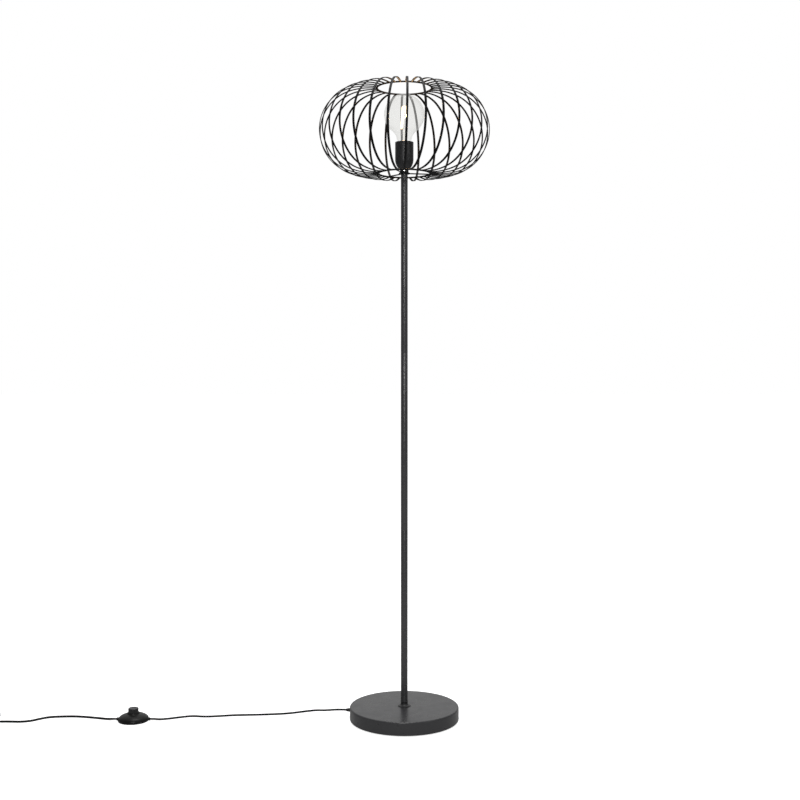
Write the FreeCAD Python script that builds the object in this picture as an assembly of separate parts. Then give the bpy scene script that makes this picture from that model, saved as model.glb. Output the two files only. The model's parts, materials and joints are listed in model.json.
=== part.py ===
"""Wire cage floor lamp: a round weighted base, a three-piece pole, a lamp holder with a globe bulb inside
a pumpkin-shaped cage of bent wires, and a mains lead with a foot switch and a plug.

Millimetres. +Z is up, the lamp's axis is Z, +X is to the viewer's right and +Y points away from the viewer.
The origin is on the floor under the middle of the base.
"""
import FreeCAD, Part
import math
import os
from FreeCAD import Vector

os.makedirs("parts", exist_ok=True)

# ---- driving dimensions -------------------------------------------------------------------------------
CLEAR = 0.05  # running clearance of pieces that screw or slide together

# base
BASE_DIAMETER = 258.0
BASE_TOP = 34.0
BASE_GAP = 2.0  # between the floor and the cover's rolled edge
SHEET = 1.5
BASE_EDGE_R = 3.5
FOOT_COUNT = 6
FOOT_DIAMETER = 18.0
FOOT_CIRCLE_R = 110.0
PLATE_THICK = 1.2
WEIGHT_R = 118.0
WEIGHT_THICK = 12.0
WEIGHT_RIM_R = 104.0
WEIGHT_RIM_TOP = 26.0
HUB_R = 30.0
RECESS_R = 18.0
RECESS_TOP = 19.0
SLOT_WIDTH = 9.0
BASE_SCREW_COUNT = 3

# lead
CORD_D = 5.2
EXIT_AZIMUTH = 170.0  # where the lead leaves the base, counter-clockwise from +X
EXIT_Z = 17.0
EXIT_R = 140.0  # outer end of the base's bushing
GROOVE_CABLE_Z = 7.6

# pole
POLE_D = 16.0
POLE_WALL = 1.0
THREAD_D = 10.0
THREAD_BORE_D = 7.4
BUSH_LENGTH = 22.0
COLLAR_D = 30.0
COLLAR_HEIGHT = 12.0

# cage
WIRE_WIDTH = 4.5  # each wire is a flat strip with its wide face outwards
WIRE_THICK = 1.5
WIRE_COUNT = 30
WIRES_PER_NODE = 3
FIRST_WIRE_AZIMUTH = 7.45
WIRE_LEAN = 1.5  # each wire's plane leans by this angle about its own radius
CAGE_DIAMETER = 398.0
CAGE_HEIGHT = 203.4
CAGE_CENTRE_Z = 1387.9
CREST_R = 85.2  # radius at which a wire is highest and lowest
SIDE_ARC_R = 99.0
TOP_RING_R = 63.5
BOTTOM_RING_R = 60.0
RING_WIRE_D = 3.2
ARM_D = 3.0
ARM_AZIMUTHS = (10.0, 130.0, 250.0)
SPIDER_HUB_R = 13.0
SPIDER_HUB_THICK = 2.5

# lamp holder
CUP_D = 43.0
CUP_HEIGHT = 71.3
CUP_ROUND_HEIGHT = 31.0
CUP_FOOT_R = 10.0
CUP_NECK = 7.0  # straight foot of the cup, for its set screw
CUP_WALL = 1.2

# bulb
GLOBE_D = 95.0
GLASS = 0.8
BULB_LENGTH = 137.5
CAP_R = 13.05
CAP_LENGTH = 24.0
FILAMENT_COUNT = 4

# foot switch
SWITCH_X = -641.0
SWITCH_Y = -6.0
SWITCH_D = 73.4
SWITCH_TOP = 20.4
SWITCH_COLLAR_R = 14.0  # raised ring round the button
SWITCH_WALL = 1.8
SWITCH_ENTRY_Z = 4.4
SWITCH_RELIEF_START = 21.0
SWITCH_RELIEF_END = 39.5
BUTTON_D = 24.0
BUTTON_TOP = 30.5
BUTTON_ROOF = 3.2  # from the button's rim down to the underside that the spring pushes

# coil of put-away lead and plug
COIL_X = -1000.0
COIL_START_Y = -23.0
COIL_Z = 3.6
COIL_PITCH = 5.7
COIL_INNER_R = 21.0
COIL_LOWER_HALVES = 5
COIL_UPPER_HALVES = 4
TIE_THICK = 0.8
TIE_WIDTH = 6.0
PLUG_RELIEF_X = -1056.0
PLUG_RELIEF_LENGTH = 22.0
PLUG_LENGTH = 35.0
PLUG_WIDTH = 35.0
PLUG_THICK = 13.7
PIN_D = 4.0
PIN_LENGTH = 19.0
PIN_SPACING = 18.6

# ---- sizes worked out from them ------------------------------------------------------------------------
BASE_R = BASE_DIAMETER / 2
PLATE_BOTTOM = BASE_GAP + SHEET
WEIGHT_BOTTOM = PLATE_BOTTOM + PLATE_THICK
CORD_R = CORD_D / 2
CAGE_R = CAGE_DIAMETER / 2 - WIRE_THICK / 2
CAGE_HALF = CAGE_HEIGHT / 2 - WIRE_THICK / 2
CROWN_ARC_R = ((CAGE_R - CREST_R - SIDE_ARC_R) ** 2 + CAGE_HALF**2 - SIDE_ARC_R**2) / (
    2 * (CAGE_HALF - SIDE_ARC_R)
)


def crown_height(radius):
    """Height of a wire's centreline above the cage's middle plane, on its crown arc."""
    return CAGE_HALF - CROWN_ARC_R + math.sqrt(CROWN_ARC_R**2 - (radius - CREST_R) ** 2)


TOP_RING_Z = CAGE_CENTRE_Z + crown_height(TOP_RING_R)
BOTTOM_RING_Z = CAGE_CENTRE_Z - crown_height(BOTTOM_RING_R)
POLE_TOP = BOTTOM_RING_Z - SPIDER_HUB_THICK / 2
POLE_PIECE = (POLE_TOP - BASE_TOP) / 3
JOINT_HEIGHTS = (BASE_TOP + POLE_PIECE, BASE_TOP + 2 * POLE_PIECE)
CUP_BOTTOM = POLE_TOP + SPIDER_HUB_THICK
CUP_TOP = CUP_BOTTOM + CUP_HEIGHT
BULB_TOP = 1473.5
BULB_TIP = BULB_TOP - BULB_LENGTH
GLOBE_Z = BULB_TOP - GLOBE_D / 2
CAP_TOP = BULB_TIP + CAP_LENGTH

# points of the lead's two free stretches, on the floor at half a lead's height where nothing lifts it
FLOOR_Z = CORD_R
BASE_TO_SWITCH = [
    (-152.0, 26.8, EXIT_Z),
    (-171.0, 33.0, 14.4),
    (-191.0, 44.0, 9.8),
    (-212.0, 58.5, 6.2),
    (-234.0, 64.0, FLOOR_Z),
    (-258.0, 52.5, FLOOR_Z),
    (-286.0, 42.3, FLOOR_Z),
    (-326.0, 36.4, FLOOR_Z),
    (-369.0, 32.4, FLOOR_Z),
    (-411.0, 30.5, FLOOR_Z),
    (-447.0, 22.0, FLOOR_Z),
    (-478.0, 18.0, FLOOR_Z),
    (-507.0, 25.0, FLOOR_Z),
    (-535.0, 14.0, FLOOR_Z),
    (-560.0, 2.5, FLOOR_Z),
    (-580.0, -4.0, 3.0),
    (-591.5, SWITCH_Y, SWITCH_ENTRY_Z),
]
SWITCH_TO_COIL = [
    (-690.0, SWITCH_Y, SWITCH_ENTRY_Z),
    (-703.0, -2.3, 3.0),
    (-727.0, 6.2, FLOOR_Z),
    (-756.0, 14.2, FLOOR_Z),
    (-788.0, 20.3, FLOOR_Z),
    (-819.0, 18.2, FLOOR_Z),
    (-845.0, 14.6, FLOOR_Z),
    (-863.0, 1.8, FLOOR_Z),
    (-880.0, -15.5, FLOOR_Z),
    (-903.0, -22.8, FLOOR_Z),
    (-933.0, -20.0, FLOOR_Z),
    (-961.0, -22.0, 2.9),
    (-980.0, COIL_START_Y, COIL_Z),
]


# ---- helpers ------------------------------------------------------------------------------------------
def export(name, shape):
    """Write one named piece."""
    shape.exportStep(f"parts/{name}.step")


def polar(radius, azimuth, z=0.0):
    """A point at a radius and an azimuth in degrees."""
    angle = math.radians(azimuth)
    return Vector(radius * math.cos(angle), radius * math.sin(angle), z)


def line(a, b):
    return Part.LineSegment(Vector(*a), Vector(*b)).toShape()


def arc(a, middle, b):
    return Part.Arc(Vector(*a), Vector(*middle), Vector(*b)).toShape()


def arc_about(centre, radius, start, end):
    """Arc in the XZ plane about a centre (r, z), from a start to an end angle in degrees."""
    points = []
    for angle in (start, (start + end) / 2, end):
        a = math.radians(angle)
        points.append((centre[0] + radius * math.cos(a), 0, centre[1] + radius * math.sin(a)))
    return arc(*points)


def turned(edges):
    """Solid of revolution about Z of closed profile edges in the XZ plane."""
    wire = Part.Wire(Part.__sortEdges__(edges))
    return Part.Face(wire).revolve(Vector(0, 0, 0), Vector(0, 0, 1), 360)


def stepped(edge, steps):
    """Points (r, z) of an arc in the XZ plane that is taken as straight steps."""
    return [(p.x, p.z) for p in edge.discretize(steps + 1)]


def turned_points(points):
    """Solid of revolution about Z of a closed polygon of (r, z) points."""
    corners = [Vector(r, 0, z) for r, z in points]
    return Part.Face(Part.makePolygon(corners + corners[:1])).revolve(Vector(0, 0, 0), Vector(0, 0, 1), 360)


def ring_solid(outer, inner, low, high):
    """A plain tube or washer about Z."""
    return turned_points([(inner, low), (outer, low), (outer, high), (inner, high)])


def hexagon(across_flats, low, high, hole):
    """A hexagonal nut about Z with a round hole."""
    radius = across_flats / math.sqrt(3)
    corners = [polar(radius, 60 * k, low) for k in range(6)]
    body = Part.Face(Part.makePolygon(corners + corners[:1])).extrude(Vector(0, 0, high - low))
    return body.cut(Part.makeCylinder(hole, high - low, Vector(0, 0, low)))


def section(centre, direction, radius, sides):
    """A regular polygon, or a circle where sides is 0, square to a direction."""
    if sides == 0:
        return Part.Wire([Part.makeCircle(radius, centre, direction)])
    along = Vector(direction).normalize()
    seed = Vector(0, 0, 1) if abs(along.z) < 0.9 else Vector(0, 1, 0)
    across = along.cross(seed).normalize()
    up = across.cross(along)
    corners = []
    for k in range(sides):
        a = 2 * math.pi * (k + 0.5) / sides
        corners.append(centre + across * (radius * math.cos(a)) + up * (radius * math.sin(a)))
    return Part.makePolygon(corners + corners[:1])


def swept(path, start, direction, radius, sides=0):
    """Solid of a round or many-sided section along a path."""
    return path.makePipeShell([section(start, direction, radius, sides)], True, False)


def rod(a, b, radius, sides=0):
    """A straight round or many-sided rod between two points."""
    a = Vector(a)
    b = Vector(b)
    if sides == 0:
        return Part.makeCylinder(radius, (b - a).Length, a, b - a)
    return Part.Face(section(a, b - a, radius, sides)).extrude(b - a)


def along_exit(shape):
    """Turn a piece that was made about +Z so that its axis is the lead's way out of the base."""
    out = shape.copy()
    out.rotate(Vector(0, 0, 0), Vector(0, 1, 0), 90)
    out.rotate(Vector(0, 0, 0), Vector(0, 0, 1), EXIT_AZIMUTH)
    out.translate(Vector(0, 0, EXIT_Z))
    return out


# ---- base ---------------------------------------------------------------------------------------------
def base_cover():
    """Spun steel shell: flat top, rounded edge, straight side and a rolled lower edge."""
    hole = THREAD_D / 2 + 0.3
    edge = BASE_EDGE_R
    shoulder = BASE_R - edge
    lip = shoulder - 2.0
    inner_top = BASE_TOP - SHEET
    inner_r = BASE_R - SHEET
    top_edge = arc_about((shoulder, BASE_TOP - edge), edge, 90, 0)
    low_edge = arc_about((shoulder, BASE_GAP + edge), edge, 0, -90)
    shell = turned_points(
        [(hole, BASE_TOP)]
        + stepped(top_edge, 4)
        + stepped(low_edge, 3)
        + [
            (lip, BASE_GAP),
            (lip, PLATE_BOTTOM),
            (shoulder, PLATE_BOTTOM),
            (inner_r, BASE_GAP + edge),
            (inner_r, BASE_TOP - edge),
            (shoulder, inner_top),
            (hole, inner_top),
        ]
    )
    exit_hole = along_exit(Part.makeCylinder(4.55, 20, Vector(0, 0, BASE_R - 10)))
    return shell.cut(exit_hole)


def base_screw_spots():
    return [polar(70.0, 30 + 360 * k / BASE_SCREW_COUNT) for k in range(BASE_SCREW_COUNT)]


def base_bottom_plate():
    """Steel disc that the cover's edge is rolled over, with holes for the nut tool and the screws."""
    plate = ring_solid(BASE_R - BASE_EDGE_R, RECESS_R - 2, PLATE_BOTTOM, WEIGHT_BOTTOM)
    for spot in base_screw_spots():
        plate = plate.cut(Part.makeCylinder(2.2, PLATE_THICK, spot + Vector(0, 0, PLATE_BOTTOM)))
    return plate


def base_weight():
    """Cast disc with a raised rim and hub, a recess for the nut and a slot for the lead."""
    floor_top = WEIGHT_BOTTOM + WEIGHT_THICK
    cover_under = BASE_TOP - SHEET
    weight = turned_points(
        [
            (THREAD_D / 2 + 0.3, RECESS_TOP),
            (RECESS_R, RECESS_TOP),
            (RECESS_R, WEIGHT_BOTTOM),
            (WEIGHT_R, WEIGHT_BOTTOM),
            (WEIGHT_R, WEIGHT_RIM_TOP - 2),
            (WEIGHT_R - 2, WEIGHT_RIM_TOP),
            (WEIGHT_RIM_R, WEIGHT_RIM_TOP),
            (WEIGHT_RIM_R - 3, floor_top),
            (HUB_R + 4, floor_top),
            (HUB_R, cover_under),
            (THREAD_D / 2 + 0.3, cover_under),
        ]
    )
    groove = Part.makeBox(WEIGHT_R, SLOT_WIDTH, 7.0, Vector(0, -SLOT_WIDTH / 2, WEIGHT_BOTTOM))
    slot = Part.makeBox(40, SLOT_WIDTH, 40, Vector(96, -SLOT_WIDTH / 2, WEIGHT_BOTTOM))
    for cutter in (groove, slot):
        cutter.rotate(Vector(0, 0, 0), Vector(0, 0, 1), EXIT_AZIMUTH)
        weight = weight.cut(cutter)
    for spot in base_screw_spots():
        weight = weight.cut(Part.makeCylinder(1.7, 9, spot + Vector(0, 0, WEIGHT_BOTTOM)))
    return weight


def base_screws():
    """Pan-head screws that hold the bottom plate to the weight."""
    screws = []
    for spot in base_screw_spots():
        head = Part.makeCylinder(3.6, 1.8, spot + Vector(0, 0, PLATE_BOTTOM - 1.8))
        shank = Part.makeCylinder(1.65, 9.2, spot + Vector(0, 0, PLATE_BOTTOM))
        screws.append(head.fuse(shank).removeSplitter())
    return Part.makeCompound(screws)


def base_feet():
    """Rubber pads under the bottom plate."""
    pads = []
    radius = FOOT_DIAMETER / 2
    for k in range(FOOT_COUNT):
        pad = turned_points(
            [(0, 0), (radius - 0.8, 0), (radius, 0.8), (radius, PLATE_BOTTOM), (0, PLATE_BOTTOM)]
        )
        pad.translate(polar(FOOT_CIRCLE_R, 60 * k))
        pads.append(pad)
    return Part.makeCompound(pads)


def base_cord_bushing():
    """Tapered plastic bushing that guards the lead where it leaves the base."""
    bore = CORD_R + CLEAR
    return along_exit(
        turned_points(
            [
                (bore, 122.5),
                (5.8, 122.5),
                (5.8, BASE_R - SHEET - 0.2),
                (4.5, BASE_R - SHEET - 0.2),
                (4.5, BASE_R + 0.05),
                (5.3, BASE_R + 0.05),
                (5.1, BASE_R + 2.4),
                (3.5, EXIT_R),
                (bore, EXIT_R),
            ]
        )
    )


def threaded_tube(low, high):
    """Hollow threaded rod about the lamp's axis, drawn at its outer diameter."""
    return ring_solid(THREAD_D / 2, THREAD_BORE_D / 2, low, high)


def base_washer():
    return ring_solid(11.0, THREAD_D / 2 + 0.2, RECESS_TOP - 1.5, RECESS_TOP)


def base_nut():
    return hexagon(14.0, RECESS_TOP - 5.5, RECESS_TOP - 1.5, THREAD_D / 2 + CLEAR)


# ---- pole ---------------------------------------------------------------------------------------------
def pole_tube(low, high):
    """One length of steel tube with broken outer edges."""
    outer = POLE_D / 2
    inner = outer - POLE_WALL
    edge = 0.3
    return turned_points(
        [(inner, low), (outer - edge, low), (outer, low + edge), (outer, high - edge), (outer - edge, high),
         (inner, high)]
    )


def pole_bushes():
    """Tapped bushes pressed into the ends of the three tubes."""
    lows = [BASE_TOP]
    for joint in JOINT_HEIGHTS:
        lows += [joint - BUSH_LENGTH, joint]
    lows.append(POLE_TOP - BUSH_LENGTH)
    outer = POLE_D / 2 - POLE_WALL - 0.02
    bore = THREAD_D / 2 + CLEAR
    return Part.makeCompound([ring_solid(outer, bore, low, low + BUSH_LENGTH) for low in lows])


def pole_studs():
    """Hollow threaded studs that join the tubes."""
    return Part.makeCompound([threaded_tube(joint - 20, joint + 20) for joint in JOINT_HEIGHTS])


def pole_collar():
    """Flared ring that covers the pole's foot."""
    bore = POLE_D / 2 + 0.1
    rim = COLLAR_D / 2
    neck = bore + 1.2
    top = BASE_TOP + COLLAR_HEIGHT
    flare = arc((rim, 0, BASE_TOP + 2.0), (neck + 2.0, 0, BASE_TOP + 4.4), (neck, 0, top))
    return turned_points(
        [(bore, BASE_TOP), (rim - 0.5, BASE_TOP), (rim, BASE_TOP + 0.6)] + stepped(flare, 6) + [(bore, top)]
    )


def lamp_cable():
    """The lead inside the lamp: down the pole, round under the weight and up to the bushing."""
    bend = 9.0
    rise = EXIT_Z - GROOVE_CABLE_Z
    s_radius = 10.0
    theta = math.degrees(math.acos(1 - rise / (2 * s_radius)))
    run = s_radius * math.sin(math.radians(theta))
    s_start = 122.0 - 2 * run

    def at(radius, z):
        return tuple(polar(radius, EXIT_AZIMUTH, z))

    def bow(radius, z, angle, r):
        a = math.radians(angle)
        return at(radius + r * math.cos(a), z + r * math.sin(a))

    low_turn = (s_start, GROOVE_CABLE_Z + s_radius)
    high_turn = (s_start + 2 * run, EXIT_Z - s_radius)
    top = CUP_BOTTOM + 21.0
    path = Part.Wire(
        [
            line((0, 0, top), (0, 0, GROOVE_CABLE_Z + bend)),
            arc((0, 0, GROOVE_CABLE_Z + bend), bow(bend, GROOVE_CABLE_Z + bend, 225, bend),
                at(bend, GROOVE_CABLE_Z)),
            line(at(bend, GROOVE_CABLE_Z), at(s_start, GROOVE_CABLE_Z)),
            arc(at(s_start, GROOVE_CABLE_Z), bow(*low_turn, -90 + theta / 2, s_radius),
                bow(*low_turn, -90 + theta, s_radius)),
            arc(bow(*high_turn, 90 + theta, s_radius), bow(*high_turn, 90 + theta / 2, s_radius),
                at(high_turn[0], EXIT_Z)),
            line(at(high_turn[0], EXIT_Z), at(EXIT_R, EXIT_Z)),
        ]
    )
    return swept(path, Vector(0, 0, top), Vector(0, 0, -1), CORD_R)


# ---- cage ---------------------------------------------------------------------------------------------
def cage_ring(radius, z):
    """A closed ring of wire about the lamp's axis, eight-sided across flats of the wire's diameter."""
    corner_r = RING_WIRE_D / 2 / math.cos(math.pi / 8)
    wire = section(Vector(radius, 0, z), Vector(0, 1, 0), corner_r, 8)
    return Part.Face(wire).revolve(Vector(0, 0, 0), Vector(0, 0, 1), 360)


def cage_wire():
    """One flat wire in the XZ plane: crown arc, side arc and foot arc, coped to both rings."""
    side_centre = CAGE_R - SIDE_ARC_R
    crown_centre = CAGE_HALF - CROWN_ARC_R
    tangent = math.degrees(math.atan2(-crown_centre, side_centre - CREST_R))

    top_angle = math.degrees(math.acos((TOP_RING_R - CREST_R) / CROWN_ARC_R))
    bottom_angle = math.degrees(math.acos((BOTTOM_RING_R - CREST_R) / CROWN_ARC_R))
    crown = arc_about((CREST_R, CAGE_CENTRE_Z + crown_centre), CROWN_ARC_R, top_angle, tangent)
    side = arc_about((side_centre, CAGE_CENTRE_Z), SIDE_ARC_R, tangent, -tangent)
    foot = arc_about((CREST_R, CAGE_CENTRE_Z - crown_centre), CROWN_ARC_R, -tangent, -bottom_angle)
    start = crown.valueAt(crown.FirstParameter)
    across = Vector(0, WIRE_WIDTH / 2, 0)
    through = crown.tangentAt(crown.FirstParameter).cross(across).normalize() * (WIRE_THICK / 2)
    corners = [start + across + through, start - across + through, start - across - through,
               start + across - through]
    strip = Part.makePolygon(corners + corners[:1])
    wire = Part.Wire([crown, side, foot]).makePipeShell([strip], True, False)
    wire.rotate(Vector(0, 0, CAGE_CENTRE_Z), Vector(1, 0, 0), -WIRE_LEAN)
    for ring in (cage_ring(TOP_RING_R, TOP_RING_Z), cage_ring(BOTTOM_RING_R, BOTTOM_RING_Z)):
        wire = wire.cut(ring)
    return max(wire.Solids, key=lambda solid: solid.Volume)


def cage_wire_group(first, wire):
    """Every tenth wire round the cage, starting from one."""
    pitch = 360.0 / WIRE_COUNT
    step = WIRE_COUNT // WIRES_PER_NODE
    group = []
    for k in range(first, WIRE_COUNT, step):
        copy = wire.copy()
        copy.rotate(Vector(0, 0, 0), Vector(0, 0, 1), FIRST_WIRE_AZIMUTH + pitch * k)
        group.append(copy)
    return Part.makeCompound(group)


def spider_hub():
    """Disc clamped between the pole and the lamp holder."""
    return ring_solid(SPIDER_HUB_R, THREAD_D / 2 + 0.2, POLE_TOP, CUP_BOTTOM)


def spider_arms():
    """Three straight wires from the hub to the bottom ring."""
    hub = Part.makeCylinder(SPIDER_HUB_R, 10, Vector(0, 0, POLE_TOP - 4))
    ring = cage_ring(BOTTOM_RING_R, BOTTOM_RING_Z)
    arms = []
    for azimuth in ARM_AZIMUTHS:
        start = polar(SPIDER_HUB_R - 1, azimuth, BOTTOM_RING_Z)
        end = polar(BOTTOM_RING_R, azimuth, BOTTOM_RING_Z)
        arm = rod(start, end, ARM_D / 2).cut(hub).cut(ring)
        arms.append(max(arm.Solids, key=lambda solid: solid.Volume))
    return Part.makeCompound(arms)


# ---- lamp holder --------------------------------------------------------------------------------------
def holder_cover():
    """Drawn metal cup: straight above, rounded down to the pole."""
    outer = CUP_D / 2
    inner = outer - CUP_WALL
    shoulder = CUP_BOTTOM + CUP_ROUND_HEIGHT
    drop = CUP_ROUND_HEIGHT - CUP_NECK
    swing = ((outer - CUP_FOOT_R) ** 2 + drop**2) / (2 * (outer - CUP_FOOT_R))
    centre = (outer - swing, shoulder)
    foot_angle = -math.degrees(math.asin(drop / swing))
    inner_swing = swing - CUP_WALL
    inner_neck_r = CUP_FOOT_R - CUP_WALL
    inner_angle = -math.degrees(math.acos((inner_neck_r - centre[0]) / inner_swing))
    floor = CUP_BOTTOM + CUP_WALL
    hole = THREAD_D / 2 + 0.2
    rim_r = CUP_WALL / 2
    rim = arc_about((outer - rim_r, CUP_TOP - rim_r), rim_r, 0, 180)
    cup = turned_points(
        [(hole, CUP_BOTTOM), (CUP_FOOT_R, CUP_BOTTOM)]
        + stepped(arc_about(centre, swing, foot_angle, 0), 9)
        + stepped(rim, 4)
        + stepped(arc_about(centre, inner_swing, 0, inner_angle), 6)
        + [(inner_neck_r, floor), (hole, floor)]
    )
    return cup.cut(Part.makeCylinder(2.05, 20, Vector(0, 0, CUP_BOTTOM + 4.2), Vector(0, -1, 0)))


def holder_set_screw():
    """Small bright screw at the front of the cup's foot."""
    z = CUP_BOTTOM + 4.2
    screw = Part.makeCylinder(2.0, 5.2, Vector(0, -8.3, z), Vector(0, -1, 0))
    slot = Part.makeBox(5, 1.0, 0.6, Vector(-2.5, -13.6, z - 0.3))
    return screw.cut(slot)


def holder_locknut():
    return hexagon(14.0, CUP_BOTTOM + CUP_WALL, CUP_BOTTOM + CUP_WALL + 4.0, THREAD_D / 2 + CLEAR)


def holder_dome():
    """Lower half of the lamp holder with its threaded entry."""
    z = CUP_BOTTOM
    bore = THREAD_D / 2 + CLEAR
    return turned_points(
        [
            (bore, z + 5.4),
            (8.2, z + 5.4),
            (8.2, z + 9.5),
            (16.8, z + 19.5),
            (18.4, z + 24.5),
            (18.4, z + 34.4),
            (16.6, z + 34.4),
            (16.6, z + 25.0),
            (7.4, z + 13.4),
            (bore, z + 13.4),
        ]
    )


def holder_body():
    """Upper half of the lamp holder: a floor for the contacts and a wall round the screw shell."""
    low = CUP_BOTTOM + 34.4
    floor = BULB_TIP - 1.7
    body = turned_points(
        [(0, low), (19.2, low), (19.2, CUP_TOP - 2.5), (14.1, CUP_TOP - 2.5), (14.1, floor), (0, floor)]
    )
    for side in (-1, 1):
        body = body.cut(Part.makeCylinder(1.3, 20, Vector(9.0 * side, 0, low - 1)))
    return body


def holder_thread_shell():
    """Brass screw shell, drawn at its thread's mean size."""
    return ring_solid(14.0, 13.5, BULB_TIP + 2.0, BULB_TIP + 20.5)


def holder_centre_contact():
    """Springy brass tongue under the bulb's tip."""
    floor = BULB_TIP - 1.7
    low = BULB_TIP - 0.65
    top = BULB_TIP - 0.1
    profile = [(-11.5, floor), (-4.6, floor), (-2.6, low), (3.2, low), (4.2, floor + 0.3),
               (4.6, floor + 0.6), (3.5, top), (-3.0, top), (-5.0, floor + 0.5), (-11.5, floor + 0.5)]
    corners = [Vector(x, -3.0, z) for x, z in profile]
    return Part.Face(Part.makePolygon(corners + corners[:1])).extrude(Vector(0, 6.0, 0))


def holder_terminals():
    """Two brass terminal blocks with their clamp screws, under the holder's floor."""
    low = CUP_BOTTOM + 26.0
    high = CUP_BOTTOM + 34.4
    blocks = []
    for side in (-1, 1):
        block = Part.makeBox(6.5, 7.0, high - low, Vector(9.0 * side - 3.25, -3.5, low))
        block = block.cut(Part.makeCylinder(1.6, 9, Vector(9.0 * side, -4.5, low + 3.0), Vector(0, 1, 0)))
        post = Part.makeCylinder(1.25, 5.0, Vector(9.0 * side, 0, high - 0.5))
        blocks.append(block.fuse(post).removeSplitter())
    return Part.makeCompound(blocks)


# ---- bulb ---------------------------------------------------------------------------------------------
def globe_arcs(offset):
    """The glass's sphere and flare as arcs, moved inwards by an offset."""
    radius = GLOBE_D / 2 - offset
    join = math.radians(50.0)
    join_point = (radius * math.cos(join), 0, GLOBE_Z - radius * math.sin(join))
    neck_top = (17.4 - offset, 0, CAP_TOP + 7.4)
    # the flare starts square to the sphere's radius and ends steeply at the neck
    flare_middle = (
        (join_point[0] + neck_top[0]) / 2 - 2.6,
        0,
        (join_point[2] + neck_top[2]) / 2 + 2.2,
    )
    return arc_about((0, GLOBE_Z), radius, 90, -50), arc(join_point, flare_middle, neck_top)


def bulb_globe():
    """Clear glass envelope, open at the neck where the cap is cemented on."""
    outer_neck = 12.5
    inner_neck = outer_neck - GLASS
    foot = CAP_TOP - 10
    mouth = CAP_TOP + 0.3
    sphere, flare = globe_arcs(0.0)
    inner_sphere, inner_flare = globe_arcs(GLASS)
    neck = [(outer_neck, mouth), (outer_neck, foot), (inner_neck, foot), (inner_neck, mouth)]
    inside = stepped(inner_flare, 4)[::-1] + stepped(inner_sphere, 14)[-2::-1]
    corners = [Vector(r, 0, z) for r, z in stepped(flare, 5) + neck + inside]
    steps = Part.makePolygon(corners).Edges
    return turned([sphere] + steps + [line(corners[-1], (0, 0, BULB_TOP))])


def bulb_stem():
    """Glass mount: a flare in the neck that narrows to a pillar."""
    foot = CAP_TOP - 9
    flare = arc((10.5, 0, foot), (5.6, 0, foot + 8.5), (3.4, 0, foot + 20))
    return turned_points(
        [(0, foot)] + stepped(flare, 6) + [(2.6, foot + 38), (1.4, foot + 42), (0, foot + 42)]
    )


STEM_TOP = CAP_TOP + 33.0
FILAMENT_LOW = (9.0, STEM_TOP + 0.6)
FILAMENT_HIGH = (4.5, STEM_TOP + 52.0)


def filament_azimuths():
    return [45 + 360 * k / FILAMENT_COUNT for k in range(FILAMENT_COUNT)]


def bulb_filaments():
    """Light-emitting rods that lean in towards the top."""
    rods = []
    for azimuth in filament_azimuths():
        rods.append(rod(polar(FILAMENT_LOW[0], azimuth, FILAMENT_LOW[1]),
                        polar(FILAMENT_HIGH[0], azimuth, FILAMENT_HIGH[1]), 1.1, 8))
    return Part.makeCompound(rods)


def bulb_support_wires():
    """Feed wires at the rods' lower ends and the wire cross that carries their upper ends."""
    thin = 0.5
    low_z = FILAMENT_LOW[1] - thin - 0.1
    high_z = FILAMENT_HIGH[1] + thin + 0.3
    pieces = [rod((0, 0, STEM_TOP), (0, 0, high_z), thin, 6)]
    for azimuth in filament_azimuths():
        pieces.append(rod((0, 0, high_z), polar(FILAMENT_HIGH[0] + 0.6, azimuth, high_z), thin, 6))
        feed_start = (0, 0, STEM_TOP + thin + 0.2)
        pieces.append(rod(feed_start, polar(FILAMENT_LOW[0] + 0.6, azimuth, low_z), thin, 6))
    cross = pieces[0]
    for piece in pieces[1:]:
        cross = cross.fuse(piece)
    return cross.removeSplitter()


def bulb_cap():
    """Screw cap, drawn at its thread's mean size."""
    low = BULB_TIP + 5.5
    wall = 0.35
    return turned_points(
        [
            (8.6, low),
            (CAP_R, low + 3.0),
            (CAP_R, CAP_TOP - 0.8),
            (CAP_R + 0.3, CAP_TOP),
            (CAP_R - 0.1, CAP_TOP),
            (CAP_R - wall, CAP_TOP - 0.9),
            (CAP_R - wall, low + 3.2),
            (8.6, low + 0.5),
        ]
    )


def bulb_insulator():
    """Black glass cone between the cap and the tip contact."""
    low = BULB_TIP + 2.0
    high = BULB_TIP + 6.6
    return turned_points([(0, low), (4.7, low), (8.6, BULB_TIP + 5.2), (8.6, high), (0, high)])


def bulb_tip_contact():
    """Soldered contact at the bulb's tip."""
    return turned_points(
        [(0, BULB_TIP), (3.2, BULB_TIP), (4.6, BULB_TIP + 1.0), (4.6, BULB_TIP + 1.95), (0, BULB_TIP + 1.95)]
    )


# ---- lead ---------------------------------------------------------------------------------------------
def tube_path(points, label):
    """Straight runs joined by tangent arcs, each as large as its two runs allow."""
    edges = []
    start = points[0]
    radii = []
    for before, corner, after in zip(points, points[1:], points[2:]):
        inward = (corner - before).normalize()
        outward = (after - corner).normalize()
        turn = inward.getAngle(outward)
        trim = 0.45 * min((corner - before).Length, (after - corner).Length)
        radius = trim / math.tan(turn / 2)
        radii.append(radius)
        first = corner - inward * trim
        last = corner + outward * trim
        centre = first + (outward - inward * math.cos(turn)).normalize() * radius
        middle = centre + (corner - centre).normalize() * radius
        edges.append(line(start, first))
        edges.append(arc(first, middle, last))
        start = last
    edges.append(line(start, points[-1]))
    print(f"{label}: tightest bend {min(radii):.1f} mm, radii", [round(r) for r in radii])
    return Part.Wire(edges)


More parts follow.
